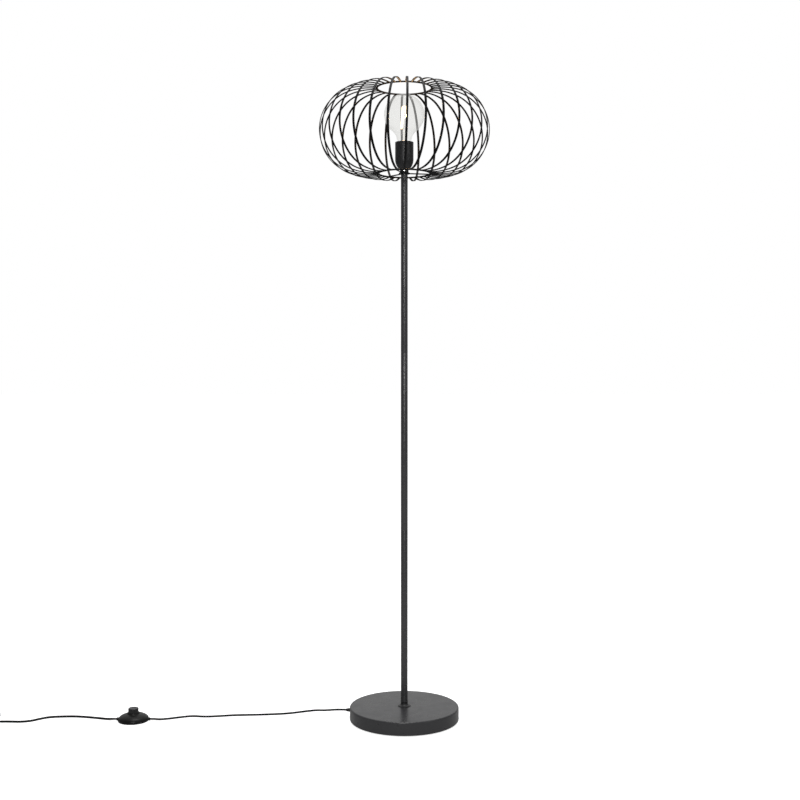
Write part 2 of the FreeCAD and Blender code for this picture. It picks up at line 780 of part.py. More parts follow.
def cord_stretch(points, label):
    """A free stretch of the lead along a list of points."""
    points = [Vector(*p) for p in points]
    path = tube_path(points, label)
    tube = swept(path, points[0], points[1] - points[0], CORD_R, 8)
    area = 4 * CORD_R**2 * math.sin(math.pi / 4)
    print(f"{label}: length {path.Length:.1f} mm, volume over section times length "
          f"{tube.Volume / (area * path.Length):.4f}")
    return tube


def switch_entry(side):
    """Outer end of the switch's strain relief on one side."""
    return (SWITCH_X + side * SWITCH_RELIEF_END, SWITCH_Y, SWITCH_ENTRY_Z)


def coil_halves():
    """Radius and climb of each half turn: in along the floor, up a layer at the middle and out again."""
    step = COIL_PITCH / 2
    inwards = [(COIL_INNER_R + step * k, 0.0) for k in range(COIL_LOWER_HALVES, 0, -1)]
    outwards = [(COIL_INNER_R + step * k, 0.0) for k in range(1, COIL_UPPER_HALVES + 1)]
    return inwards + [(COIL_INNER_R, COIL_PITCH)] + outwards


def coil_path():
    """Half turns that follow each other without a break, between two straight ends."""
    heading = -1
    here = Vector(COIL_X, COIL_START_Y, COIL_Z)
    edges = [line(here - Vector(heading * CORD_D, 0, 0), here)]
    for radius, climb in coil_halves():
        side = -heading  # a half turn that heads to -X bends towards +Y
        there = here + Vector(0, 2 * radius * side, climb)
        middle = (here + there) * 0.5
        if climb:
            bulge = middle + Vector(heading * (there - here).Length / 2, 0, 0)
        else:
            bulge = middle + Vector(heading * radius, 0, 0)
        edges.append(arc(here, bulge, there))
        here = there
        heading = -heading
    end = here + Vector(heading * CORD_D, 0, 0)
    edges.append(line(here, end))
    return Part.Wire(edges), end


def self_gap(path, diameter):
    """Least gap between stretches of a tube that are more than 4 diameters apart along it."""
    points = path.discretize(Distance=2.0)
    step = path.Length / (len(points) - 1)
    apart = int(4 * diameter / step) + 1
    least = path.Length
    for i, p in enumerate(points):
        for q in points[i + apart:]:
            least = min(least, p.distanceToPoint(q))
    return least - diameter


def cord_coil():
    """The put-away lead in two layers of loops, one unbroken tube."""
    path, _ = coil_path()
    start = Vector(COIL_X + CORD_D, COIL_START_Y, COIL_Z)
    print(f"coil: length {path.Length:.1f} mm, least gap to itself {self_gap(path, CORD_D):.2f} mm")
    return swept(path, start, Vector(-1, 0, 0), CORD_R, 8)


def coil_to_plug_points():
    """From the coil's upper layer down to the plug."""
    _, end = coil_path()
    relief = Vector(PLUG_RELIEF_X, end.y - 6.0, PLUG_THICK / 2)
    return [
        tuple(end),
        (end.x - 13.0, end.y, end.z),
        (end.x - 27.0, end.y - 3.2, end.z - 1.2),
        (relief.x + 12.0, relief.y, relief.z),
        tuple(relief),
    ]


def cord_tie():
    """Band round the coil's left side."""
    outer = COIL_INNER_R + COIL_PITCH / 2 * COIL_LOWER_HALVES
    inner = COIL_INNER_R + COIL_PITCH / 2
    gap = 0.2
    bow = 0.9  # room for the inner turns' bend over the band's width
    low = (COIL_X - outer - CORD_R - gap, COIL_Z - CORD_R - gap)
    high = (COIL_X - inner + CORD_R + gap + bow, COIL_Z + COIL_PITCH + CORD_R + gap)
    y = COIL_START_Y + outer + COIL_PITCH / 2 - TIE_WIDTH / 2
    hole = Part.makeBox(high[0] - low[0], TIE_WIDTH, high[1] - low[1], Vector(low[0], y, low[1]))
    band = Part.makeBox(
        high[0] - low[0] + 2 * TIE_THICK,
        TIE_WIDTH,
        high[1] - low[1] + 2 * TIE_THICK,
        Vector(low[0] - TIE_THICK, y, low[1] - TIE_THICK),
    )
    rounded = [e for e in band.Edges if abs(e.tangentAt(e.FirstParameter).y) > 0.99]
    return band.makeFillet(1.0, rounded).cut(hole)


def plug_axis():
    """Where the lead enters the plug's strain relief."""
    return Vector(*coil_to_plug_points()[-1])


def plug_body():
    """Flat two-pin plug body with its tapered strain relief."""
    entry = plug_axis()
    rear = entry.x - PLUG_RELIEF_LENGTH
    front = rear - PLUG_LENGTH
    half = PLUG_WIDTH / 2
    outline = [
        (rear, -8.0),
        (rear - 9.0, -9.5),
        (rear - 20.0, -half + 1.5),
        (front + 8.0, -half),
        (front, -half + 3.0),
        (front, half - 3.0),
        (front + 8.0, half),
        (rear - 20.0, half - 1.5),
        (rear - 9.0, 9.5),
        (rear, 8.0),
    ]
    corners = [Vector(x, entry.y + y, 0) for x, y in outline]
    body = Part.Face(Part.makePolygon(corners + corners[:1])).extrude(Vector(0, 0, PLUG_THICK))
    flat = [e for e in body.Edges if abs(e.tangentAt(e.FirstParameter).z) < 0.01]
    body = body.makeFillet(2.6, flat)
    reach = PLUG_RELIEF_LENGTH + 2
    relief = turned_points([(CORD_R + 0.9, 0), (CORD_R + 3.0, reach), (0, reach), (0, 0)])
    relief.rotate(Vector(0, 0, 0), Vector(0, 1, 0), -90)
    relief.translate(entry)
    return body.fuse(relief).removeSplitter()


def plug_pins():
    """Two round pins with rounded tips."""
    entry = plug_axis()
    front = entry.x - PLUG_RELIEF_LENGTH - PLUG_LENGTH
    pins = []
    for side in (-1, 1):
        pin = Part.makeCylinder(PIN_D / 2, PIN_LENGTH, Vector(0, 0, 0), Vector(-1, 0, 0))
        tip = [e for e in pin.Edges if e.BoundBox.XMax + PIN_LENGTH < 0.01]
        pin = pin.makeFillet(1.2, tip)
        pin.translate(Vector(front, entry.y + side * PIN_SPACING / 2, entry.z))
        pins.append(pin)
    return Part.makeCompound(pins)


# ---- foot switch --------------------------------------------------------------------------------------
def at_switch(shape):
    out = shape.copy()
    out.translate(Vector(SWITCH_X, SWITCH_Y, 0))
    return out


SWITCH_R = SWITCH_D / 2
SWITCH_SCREWS = ((0.0, -23.0), (0.0, 23.0))
SWITCH_PLATE_TOP = 2.0


def switch_dome(offset, low, steps):
    """Solid of the housing's outline, moved inwards by an offset, its dome taken as straight steps."""
    rim = SWITCH_R - offset
    collar = SWITCH_COLLAR_R - offset
    top = SWITCH_TOP - offset
    dome = arc((rim, 0, 4.4), (rim - 6.6, 0, 12.1 - 0.6 * offset), (collar + 2.6, 0, top - 3.4))
    return turned_points(
        [(0, low), (rim - 1.4, low)]
        + stepped(dome, steps)
        + [(collar + 0.8, top - 2.6), (collar, top - 1.0), (collar, top), (0, top)]
    )


def switch_housing():
    """Domed cover with a raised ring round the button, screw posts and two lead entries."""
    shell = switch_dome(0.0, 0.8, 8).cut(switch_dome(SWITCH_WALL, 0.0, 4))
    dome = switch_dome(0.4, 0.8, 4)
    for x, y in SWITCH_SCREWS:
        post = Part.makeCylinder(3.4, 14, Vector(x, y, SWITCH_PLATE_TOP)).common(dome)
        shell = shell.fuse(post)
    shell = shell.cut(Part.makeCylinder(BUTTON_D / 2 + 0.4, 30))
    for x, y in SWITCH_SCREWS:
        shell = shell.cut(Part.makeCylinder(1.45, 8, Vector(x, y, 0)))
    entry_start = Vector(-SWITCH_R - 10, 0, SWITCH_ENTRY_Z)
    entry = Part.makeCylinder(3.45, SWITCH_D + 20, entry_start, Vector(1, 0, 0))
    return at_switch(shell.cut(entry))


def switch_base_plate():
    """Bottom plate with a spring seat, notches for the lead and countersunk screw holes."""
    rim = SWITCH_R - SWITCH_WALL - 1.3
    top = SWITCH_PLATE_TOP
    plate = turned_points([(0, 0), (rim - 1.1, 0), (rim, 1.2), (rim, top), (0, top)])
    seat = Part.makeCylinder(3.6, 4, Vector(0, 0, SWITCH_PLATE_TOP))
    plate = plate.fuse(seat)
    for x, y in SWITCH_SCREWS:
        plate = plate.cut(Part.makeCylinder(1.7, 4, Vector(x, y, 0)))
        plate = plate.cut(Part.makeCone(3.1, 1.7, 1.4, Vector(x, y, 0)))
    for side in (-1, 1):
        notch = Part.makeCylinder(3.5, 30, Vector(side * 20, 0, SWITCH_ENTRY_Z), Vector(side, 0, 0))
        plate = plate.cut(notch)
    return at_switch(plate.removeSplitter())


def switch_screws():
    """Countersunk screws from below into the housing's posts."""
    screws = []
    for x, y in SWITCH_SCREWS:
        head = Part.makeCone(2.9, 1.4, 1.4, Vector(x, y, 0.15))
        shank = Part.makeCylinder(1.4, 7.4, Vector(x, y, 0.2))
        screws.append(at_switch(head.fuse(shank).removeSplitter()))
    return Part.makeCompound(screws)


def switch_button():
    """Round push button: a hollow cap with a dished top and a stop flange under the housing's ring."""
    radius = BUTTON_D / 2
    bore = 8.8
    edge = 1.6
    flange_r = radius + 1.1
    flange_high = SWITCH_TOP - 5.0
    flange_low = flange_high - 1.8
    dish_r = radius - edge - 1.0
    dish_depth = 1.2
    sphere_r = (dish_r**2 + dish_depth**2) / (2 * dish_depth)
    dish_angle = math.degrees(math.asin(dish_r / sphere_r))
    underside = BUTTON_TOP - BUTTON_ROOF
    rounding = arc_about((radius - edge, BUTTON_TOP - edge), edge, 0, 90)
    dish = arc_about((0, BUTTON_TOP - dish_depth + sphere_r), sphere_r, -90 + dish_angle, -90)
    return at_switch(
        turned_points(
            [(bore, flange_low), (flange_r, flange_low), (flange_r, flange_high), (radius, flange_high)]
            + stepped(rounding, 4)
            + stepped(dish, 5)
            + [(0, underside), (bore, underside)]
        )
    )


def switch_spring():
    """Return spring: closed ends and open turns, made of half turns that climb without a break."""
    radius = 5.6
    wire_r = 0.6
    low = SWITCH_PLATE_TOP + wire_r + 0.1
    high = BUTTON_TOP - BUTTON_ROOF - wire_r - 0.1
    flat_pitch = 2 * wire_r + 0.45
    halves = [flat_pitch / 2] * 2
    open_halves = 8
    rest = high - low - 4 * flat_pitch / 2
    halves += [rest / open_halves] * open_halves
    halves += [flat_pitch / 2] * 2
    here = Vector(0, -radius, low)
    heading = 1
    edges = []
    for climb in halves:
        there = here + Vector(0, 2 * radius * heading, climb)
        middle = (here + there) * 0.5
        bulge = middle + Vector(heading * (there - here).Length / 2, 0, 0)
        edges.append(arc(here, bulge, there))
        here = there
        heading = -heading
    path = Part.Wire(edges)
    print(f"spring: least gap to itself {self_gap(path, 2 * wire_r):.2f} mm")
    return at_switch(swept(path, Vector(0, -radius, low), Vector(1, 0, 0), wire_r, 6))


def switch_contacts():
    """Two bent brass contacts beside the button."""
    blades = []
    z = SWITCH_PLATE_TOP
    for side in (-1, 1):
        profile = [(14.0, z), (22.0, z), (22.0, z + 0.6), (14.6, z + 0.6), (14.6, z + 3.6), (9.4, z + 3.6),
                   (9.4, z + 3.0), (14.0, z + 3.0)]
        corners = [Vector(side * x, 6.0, zz) for x, zz in profile]
        blade = Part.Face(Part.makePolygon(corners + corners[:1])).extrude(Vector(0, 6.0, 0))
        blades.append(at_switch(blade))
    return Part.makeCompound(blades)


def switch_cord_reliefs():
    """Tapered reliefs that hold the lead on both sides of the switch."""
    reliefs = []
    for side in (-1, 1):
        relief = turned_points(
            [(CORD_R + CLEAR, SWITCH_RELIEF_START), (3.4, SWITCH_RELIEF_START), (3.4, SWITCH_R + 1.0),
             (2.95, SWITCH_RELIEF_END), (CORD_R + CLEAR, SWITCH_RELIEF_END)]
        )
        relief.rotate(Vector(0, 0, 0), Vector(0, 1, 0), 90 * side)
        relief.translate(Vector(0, 0, SWITCH_ENTRY_Z))
        reliefs.append(at_switch(relief))
    return Part.makeCompound(reliefs)


# ---- everything ---------------------------------------------------------------------------------------
def build():
    export("base_cover", base_cover())
    export("base_bottom_plate", base_bottom_plate())
    export("base_weight", base_weight())
    export("base_screws", base_screws())
    export("base_feet", base_feet())
    export("base_cord_bushing", base_cord_bushing())
    export("base_stud", threaded_tube(13.0, BASE_TOP + BUSH_LENGTH - 2))
    export("base_washer", base_washer())
    export("base_nut", base_nut())
    export("pole_collar", pole_collar())
    export("pole_lower", pole_tube(BASE_TOP, JOINT_HEIGHTS[0]))
    export("pole_middle", pole_tube(*JOINT_HEIGHTS))
    export("pole_upper", pole_tube(JOINT_HEIGHTS[1], POLE_TOP))
    export("pole_bushes", pole_bushes())
    export("pole_studs", pole_studs())
    export("lamp_cable", lamp_cable())
    export("cage_top_ring", cage_ring(TOP_RING_R, TOP_RING_Z))
    export("cage_bottom_ring", cage_ring(BOTTOM_RING_R, BOTTOM_RING_Z))
    wire = cage_wire()
    for first in range(WIRE_COUNT // WIRES_PER_NODE):
        export(f"cage_wires_{first + 1:02d}", cage_wire_group(first, wire))
    export("spider_hub", spider_hub())
    export("spider_arms", spider_arms())
    export("holder_cover", holder_cover())
    export("holder_set_screw", holder_set_screw())
    export("holder_locknut", holder_locknut())
    export("holder_nipple", threaded_tube(POLE_TOP - 20, CUP_BOTTOM + 13.0))
    export("holder_dome", holder_dome())
    export("holder_body", holder_body())
    export("holder_thread_shell", holder_thread_shell())
    export("holder_centre_contact", holder_centre_contact())
    export("holder_terminals", holder_terminals())
    export("bulb_globe", bulb_globe())
    export("bulb_stem", bulb_stem())
    export("bulb_filaments", bulb_filaments())
    export("bulb_support_wires", bulb_support_wires())
    export("bulb_cap", bulb_cap())
    export("bulb_insulator", bulb_insulator())
    export("bulb_tip_contact", bulb_tip_contact())
    base_exit = tuple(polar(EXIT_R, EXIT_AZIMUTH, EXIT_Z))
    near = [base_exit] + BASE_TO_SWITCH + [switch_entry(1)]
    export("cord_base_to_switch", cord_stretch(near, "base to switch"))
    coil_start = (COIL_X + CORD_D, COIL_START_Y, COIL_Z)
    far = [switch_entry(-1)] + SWITCH_TO_COIL + [coil_start]
    export("cord_switch_to_coil", cord_stretch(far, "switch to coil"))
    export("cord_coil", cord_coil())
    export("cord_coil_to_plug", cord_stretch(coil_to_plug_points(), "coil to plug"))
    export("cord_tie", cord_tie())
    export("plug_body", plug_body())
    export("plug_pins", plug_pins())
    export("switch_housing", switch_housing())
    export("switch_base_plate", switch_base_plate())
    export("switch_screws", switch_screws())
    export("switch_button", switch_button())
    export("switch_spring", switch_spring())
    export("switch_contacts", switch_contacts())
    export("switch_cord_reliefs", switch_cord_reliefs())


build()
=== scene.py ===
"""Looks of the wire cage floor lamp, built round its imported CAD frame.

Metres, in the frame's own axes: the lamp's axis is Z, +X is to the viewer's right, +Y points away from the
viewer, and the floor is at z = 0. Each sub-assembly is a class with its sizes as fields.
"""

from __future__ import annotations

import json
import logging
import math
from dataclasses import dataclass, field
from enum import Enum
from typing import Sequence

import bmesh
import bpy
from mathutils import Matrix, Vector

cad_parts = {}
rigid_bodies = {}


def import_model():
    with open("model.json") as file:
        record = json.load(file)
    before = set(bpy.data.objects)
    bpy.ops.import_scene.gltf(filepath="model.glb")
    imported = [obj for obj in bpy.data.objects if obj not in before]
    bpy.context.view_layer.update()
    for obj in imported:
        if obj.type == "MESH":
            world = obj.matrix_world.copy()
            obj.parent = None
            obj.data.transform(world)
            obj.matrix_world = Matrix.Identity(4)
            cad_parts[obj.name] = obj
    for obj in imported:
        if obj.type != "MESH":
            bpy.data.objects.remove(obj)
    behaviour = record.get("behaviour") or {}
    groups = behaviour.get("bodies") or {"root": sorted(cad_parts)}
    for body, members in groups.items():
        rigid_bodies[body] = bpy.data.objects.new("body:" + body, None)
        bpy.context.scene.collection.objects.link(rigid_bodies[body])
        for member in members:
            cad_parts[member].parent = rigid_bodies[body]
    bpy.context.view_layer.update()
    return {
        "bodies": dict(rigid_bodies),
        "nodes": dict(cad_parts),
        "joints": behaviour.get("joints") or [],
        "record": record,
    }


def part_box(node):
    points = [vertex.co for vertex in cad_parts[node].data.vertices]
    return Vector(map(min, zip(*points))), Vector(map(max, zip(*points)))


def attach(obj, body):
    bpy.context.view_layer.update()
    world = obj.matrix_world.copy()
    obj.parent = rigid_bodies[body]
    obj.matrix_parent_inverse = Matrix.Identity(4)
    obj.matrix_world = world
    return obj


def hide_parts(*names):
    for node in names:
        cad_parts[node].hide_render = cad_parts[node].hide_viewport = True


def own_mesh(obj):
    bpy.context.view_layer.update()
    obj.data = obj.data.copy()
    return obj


LOG = logging.getLogger("lamp")
MM = 0.001
FULL_TURN = 2 * math.pi
SAME_PLACE = 1e-7
CREASE = 32.0
WHITE = (1.0, 1.0, 1.0, 1.0)

Colour = tuple[float, float, float]
Point2 = tuple[float, float]
Point3 = tuple[float, float, float]
Socket = bpy.types.NodeSocket

NOISE_RANGE: Point2 = (0.3, 0.7)


# ---- node trees -----------------------------------------------------------------------------------------
class Wiring:
    """A node tree while it is being wired up."""

    def __init__(self, tree: bpy.types.NodeTree) -> None:
        """Take up a tree and empty it.

        Args:
            tree: The tree.
        """
        self.tree = tree
        self.tree.nodes.clear()

    def node(self, kind: str, output: int | str = 0, setup: dict | None = None, **inputs: object) -> Socket:
        """Add a node and return one of its outputs.

        Args:
            kind: The node's type.
            output: The output's index or name.
            setup: Properties set before the inputs are filled.
            inputs: Links or values by socket name, with underscores for spaces, or by number, as in n0.

        Returns:
            The chosen output.
        """
        made = self.tree.nodes.new(kind)
        for key, value in (setup or {}).items():
            setattr(made, key, value)
        for key, value in inputs.items():
            numbered = key[0] == "n" and key[1:].isdigit()
            socket = made.inputs[int(key[1:]) if numbered else key.replace("_", " ")]
            if isinstance(value, Socket):
                self.tree.links.new(value, socket)
            else:
                socket.default_value = value
        return made.outputs[output]

    def math(self, operation: str, first: object, second: object) -> Socket:
        """Combine two numbers."""
        return self.node("ShaderNodeMath", setup={"operation": operation}, n0=first, n1=second)

    def mapped(self, value: Socket, start: Point2, end: Point2 = (0.0, 1.0)) -> Socket:
        """Map one range onto another and hold the result at its ends.

        Args:
            value: The driving value.
            start: The value's range.
            end: The result's range.

        Returns:
            The mapped value.
        """
        ends = {"From_Min": start[0], "From_Max": start[1], "To_Min": end[0], "To_Max": end[1]}
        return self.node("ShaderNodeMapRange", Value=value, **ends)

    def mixed(self, share: Socket, first: Socket, second: Socket) -> Socket:
        """Mix two shaders by the second one's share."""
        return self.node("ShaderNodeMixShader", Fac=share, n1=first, n2=second)

    def seen_by(self, *rays: str) -> Socket:
        """A factor that is 1 for the named kinds of ray.

        Args:
            rays: The kinds of ray.

        Returns:
            The factor.
        """
        total = self.node("ShaderNodeLightPath", rays[0])
        path = total.node.outputs
        for ray in rays[1:]:
            total = self.math("MAXIMUM", total, path[ray])
        return total

    def close(self, kind: str, surface: Socket) -> None:
        """Link the finished surface to a new output node."""
        self.tree.links.new(surface, self.tree.nodes.new(kind).inputs["Surface"])


class ShaderSheet(Wiring):
    """A material while it is being wired up."""

    def __init__(self, name: str) -> None:
        """Start an empty material.

        Args:
            name: The material's name.
        """
        self.material = bpy.data.materials.new(name)
        self.material.use_nodes = True
        super().__init__(self.material.node_tree)
        self.place = self.node("ShaderNodeTexCoord", "Object")

    def noise(self, size: float, detail: float = 2.0, stretch: Point3 = (1.0, 1.0, 1.0)) -> Socket:
        """Noise whose blotches are about one size across.

        Args:
            size: Width of a blotch.
            detail: How many finer layers it carries.
            stretch: How much closer together the blotches stand along each axis.

        Returns:
            The noise value, from 0 to 1.
        """
        scale = [part / size for part in stretch]
        mapping = self.node("ShaderNodeMapping", Vector=self.place, Scale=scale)
        return self.node("ShaderNodeTexNoise", "Fac", Vector=mapping, Scale=1.0, Detail=detail)

    def ramp(self, value: Socket, dark: Colour, light: Colour) -> Socket:
        """Colour that runs from dark to light as a value runs over the usual range of noise.

        Args:
            value: The driving value.
            dark: Colour at the range's low end.
            light: Colour at its high end.

        Returns:
            The colour.
        """
        made = self.node("ShaderNodeValToRGB", "Color", Fac=value)
        for stop, place, colour in zip(made.node.color_ramp.elements, NOISE_RANGE, (dark, light)):
            stop.position = place
            stop.color = (*colour, 1.0)
        return made

    def spread(self, value: Socket, low: float, high: float) -> Socket:
        """Map a noise value's usual range onto another."""
        return self.mapped(value, NOISE_RANGE, (low, high))

    def bump(self, height: Socket, depth: float, strength: float) -> Socket:
        """Surface relief from a height.

        Args:
            height: The height, from 0 to 1.
            depth: Real height of the relief.
            strength: Share of it that shows.

        Returns:
            The normal.
        """
        return self.node("ShaderNodeBump", Height=height, Distance=depth, Strength=strength)

    def finished(self, surface: Socket) -> bpy.types.Material:
        """Link the surface to the output and give the material."""
        self.close("ShaderNodeOutputMaterial", surface)
        return self.material

    def skin(self, tone: Socket, roughness: Socket | float, **more: object) -> bpy.types.Material:
        """Finish the material as one physically based surface.

        Args:
            tone: Its colour.
            roughness: Its roughness.
            more: Further inputs of the shader, by name.

        Returns:
            The material.
        """
        return self.finished(
            self.node("ShaderNodeBsdfPrincipled", Base_Color=tone, Roughness=roughness, **more)
        )


# ---- finishes -------------------------------------------------------------------------------------------
def toned(colour: Colour, share: float) -> Colour:
    """The colour with its light scaled by a share."""
    return tuple(part * share for part in colour)


@dataclass(frozen=True)
class Grained:
    """A grained skin whose tone and gloss vary a little from place to place."""

    name: str
    slot: str
    colour: Colour
    roughness: float
    grain: float
    relief: float
    gloss: float = 0.4
    tones: Point2 = (0.85, 1.15)
    cloud: float = 24.0
    swing: float = 0.05
    shown: float = 0.5

    def dressed(
        self, sheet: ShaderSheet, mottle: Socket, cloud: Socket, height: Socket
    ) -> bpy.types.Material:
        """Wire up the skin.

        Args:
            sheet: The material's sheet.
            mottle: What the tone varies with.
            cloud: What the roughness varies with.
            height: Height of the relief.

        Returns:
            The material.
        """
        dark, light = (toned(self.colour, share) for share in self.tones)
        return sheet.skin(
            sheet.ramp(mottle, dark, light),
            sheet.spread(cloud, self.roughness - self.swing, self.roughness + self.swing),
            Specular_IOR_Level=self.gloss,
            Normal=sheet.bump(height, self.relief, self.shown),
        )


@dataclass(frozen=True)
class PowderCoat(Grained):
    """Baked powder paint on metal: a fine pebbled skin with a satin gloss."""

    tones: Point2 = (0.82, 1.18)
    cloud: float = 30.0
    swing: float = 0.04
    shown: float = 0.6

    def material(self) -> bpy.types.Material:
        """Wire up the paint.

        Returns:
            The material.
        """
        sheet = ShaderSheet(self.name)
        grain = sheet.noise(self.grain, detail=3.0)
        return self.dressed(sheet, grain, sheet.noise(self.grain * self.cloud), grain)


@dataclass(frozen=True)
class Moulding(Grained):
    """Moulded plastic or rubber with a spark-eroded grain."""

    def material(self) -> bpy.types.Material:
        """Wire up the plastic.

        Returns:
            The material.
        """
        sheet = ShaderSheet(self.name)
        cells = sheet.node("ShaderNodeTexVoronoi", "Distance", Vector=sheet.place, Scale=1 / self.grain)
        cloud = sheet.noise(self.grain * self.cloud)
        return self.dressed(sheet, cloud, cloud, cells)


@dataclass(frozen=True)
class Plating:
    """Bright metal with fine drawn lines and a little dullness."""

    name: str
    slot: str
    colour: Colour
    roughness: float
    line: float
    stretch: Point3 = (1.0, 1.0, 0.05)
    dark: float = 0.88
    cloud: float = 20.0
    polish: float = 0.05
    dullness: float = 0.08
    relief: float = 0.02 * MM
    shown: float = 0.3

    def material(self) -> bpy.types.Material:
        """Wire up the metal.

        Returns:
            The material.
        """
        sheet = ShaderSheet(self.name)
        lines = sheet.noise(self.line, detail=3.0, stretch=self.stretch)
        cloud = sheet.noise(self.line * self.cloud)
        return sheet.skin(
            sheet.ramp(cloud, toned(self.colour, self.dark), self.colour),
            sheet.spread(lines, self.roughness - self.polish, self.roughness + self.dullness),
            Metallic=1.0,
            Normal=sheet.bump(lines, self.relief, self.shown),
        )


@dataclass(frozen=True)
class CastIron:
    """Rough grey casting."""

    name: str
    slot: str
    colour: Colour
    pit: float = 1.5 * MM
    relief: float = 0.3 * MM
    shown: float = 0.7
    dark: float = 0.7
    metal: float = 0.6
    roughness: Point2 = (0.6, 0.8)

    def material(self) -> bpy.types.Material:
        """Wire up the casting.

        Returns:
            The material.
        """
        sheet = ShaderSheet(self.name)
        pits = sheet.noise(self.pit, detail=4.0)
        return sheet.skin(
            sheet.ramp(pits, toned(self.colour, self.dark), self.colour),
            sheet.spread(pits, *self.roughness),
            Metallic=self.metal,
            Normal=sheet.bump(pits, self.relief, self.shown),
        )


@dataclass(frozen=True)
class BulbGlass:
    """Blown glass of a lit bulb: clear, with a pale haze that thickens where it is seen edge on. The haze is
    painted light: it glows by emission in place of the light it would scatter.
    """

    name: str
    slot: str
    haze: float
    rim_haze: float
    # colour and strength of the painted glow that the haze gives off
    tint: Colour
    light: float
    ripple: float
    relief: float = 0.05 * MM
    shown: float = 0.15
    turn: float = 0.35
    haze_from: float = 0.2
    gloss_from: float = 0.3
    gloss: float = 0.06
    polish: float = 0.05
    warm: float = 0.97
    clear: Colour = (0.985, 0.985, 0.98)

    def material(self) -> bpy.types.Material:
        """Wire up the glass.

        Returns:
            The material.
        """
        sheet = ShaderSheet(self.name)
        ripple = sheet.noise(self.ripple, detail=1.0)
        normal = sheet.bump(ripple, self.relief, self.shown)
        edge = sheet.node("ShaderNodeLayerWeight", "Facing", Blend=self.turn, Normal=normal)
        amount = sheet.mapped(edge, (self.haze_from, 1.0), (self.haze, self.rim_haze))
        shade = sheet.ramp(ripple, toned(self.tint, self.warm), self.tint)
        # painted light: the haze glows by emission instead of scattering the lamps' light
        painted_haze_glow = sheet.node("ShaderNodeEmission", Color=shade, Strength=self.light)
        clear = sheet.node("ShaderNodeBsdfTransparent", Color=(*self.clear, 1.0))
        body = sheet.mixed(amount, clear, painted_haze_glow)
        gloss = sheet.node("ShaderNodeBsdfGlossy", Roughness=self.polish, Normal=normal)
        skin = sheet.mapped(edge, (self.gloss_from, 1.0), (0.0, self.gloss))
        return sheet.finished(sheet.mixed(skin, body, gloss))


@dataclass(frozen=True)
class Glow:
    """Surface that gives light: amber at its foot and warm white above."""

    name: str
    slot: str
    foot_colour: Colour
    colour: Colour
    power: float
    low: float
    high: float
    dot: float = 1.6 * MM
    swing: float = 0.2
    roughness: float = 0.5

    def material(self) -> bpy.types.Material:
        """Wire up the glow.

        Returns:
            The material.
        """
        sheet = ShaderSheet(self.name)
        height = sheet.node("ShaderNodeSeparateXYZ", "Z", Vector=sheet.place)
        tone = sheet.ramp(sheet.mapped(height, (self.low, self.high)), self.foot_colour, self.colour)
        dots = sheet.noise(self.dot, detail=1.0)
        light = sheet.spread(dots, (1 - self.swing) * self.power, (1 + self.swing) * self.power)
        return sheet.skin(tone, self.roughness, Emission_Color=tone, Emission_Strength=light)


class Surface(Enum):
    """Every finish on the lamp."""

    WIRE_COAT = PowderCoat("matt_black_coat", "black_powder_coat", (0.006, 0.006, 0.0065), 0.5, 0.5 * MM,
                           0.03 * MM, 0.08)
    BLACK_COAT = PowderCoat("satin_black_coat", "black_powder_coat", (0.021, 0.021, 0.022), 0.36, 0.5 * MM,
                            0.03 * MM, 0.3)
    POLE_COAT = PowderCoat("pole_black_coat", "black_powder_coat", (0.038, 0.038, 0.040), 0.27, 0.5 * MM,
                           0.02 * MM, 0.5)
    BASE_COAT = PowderCoat("base_grey_coat", "charcoal_powder_coat", (0.034, 0.034, 0.036), 0.3, 0.7 * MM,
                           0.03 * MM, 0.4)
    ZINC = Plating("zinc_plate", "zinc_steel", (0.62, 0.62, 0.6), 0.32, 0.4 * MM)
    CASTING = CastIron("weight_casting", "cast_iron", (0.12, 0.12, 0.12))
    RUBBER = Moulding("foot_rubber", "black_rubber", (0.02, 0.02, 0.02), 0.75, 0.5 * MM, 0.05 * MM, 0.3)
    FLEX = Moulding("flex_sheath", "black_cord", (0.012, 0.012, 0.012), 0.5, 0.8 * MM, 0.03 * MM, 0.2)
    TIE = Moulding("hook_band", "black_tie", (0.03, 0.03, 0.032), 0.9, 0.35 * MM, 0.2 * MM, 0.2)
    PLUG = Moulding("plug_plastic", "black_plastic", (0.022, 0.022, 0.023), 0.5, 0.45 * MM, 0.05 * MM)
    SWITCH = Moulding("switch_shell", "switch_plastic", (0.009, 0.009, 0.009), 0.33, 0.45 * MM,
                      0.03 * MM, 0.14)
    BUTTON = Moulding("button_plastic", "switch_plastic", (0.012, 0.012, 0.013), 0.3, 0.6 * MM,
                      0.02 * MM, 0.35)
    HOLDER = Moulding("holder_moulding", "holder_plastic", (0.03, 0.03, 0.03), 0.45, 0.5 * MM, 0.03 * MM)
    BRASS = Plating("contact_brass", "brass", (0.78, 0.6, 0.3), 0.28, 0.4 * MM)
    NICKEL = Plating("nickel_plate", "nickel", (0.74, 0.72, 0.68), 0.2, 0.4 * MM)
    # the haze of both glasses is a painted glow by emission; the stem's glow is warm
    GLASS = BulbGlass("bulb_glass", "clear_glass", 0.09, 0.24, (0.6, 0.6, 0.59), 1.0, 9 * MM)
    STEM_GLASS = BulbGlass("stem_glass", "clear_glass", 0.3, 0.6, (1.0, 0.96, 0.88), 1.0, 6 * MM)
    FILAMENT = Glow("filament_glow", "filament", (1.0, 0.42, 0.1), (1.0, 0.8, 0.5), 9.0, 1.388, 1.404)
    VITRITE = Moulding("cap_vitrite", "black_glass", (0.015, 0.015, 0.018), 0.15, 1.5 * MM, 0.02 * MM, 0.6)

    def material(self) -> bpy.types.Material:
        """The finish's material, made the first time it is asked for."""
        return bpy.data.materials.get(self.value.name) or self.value.material()


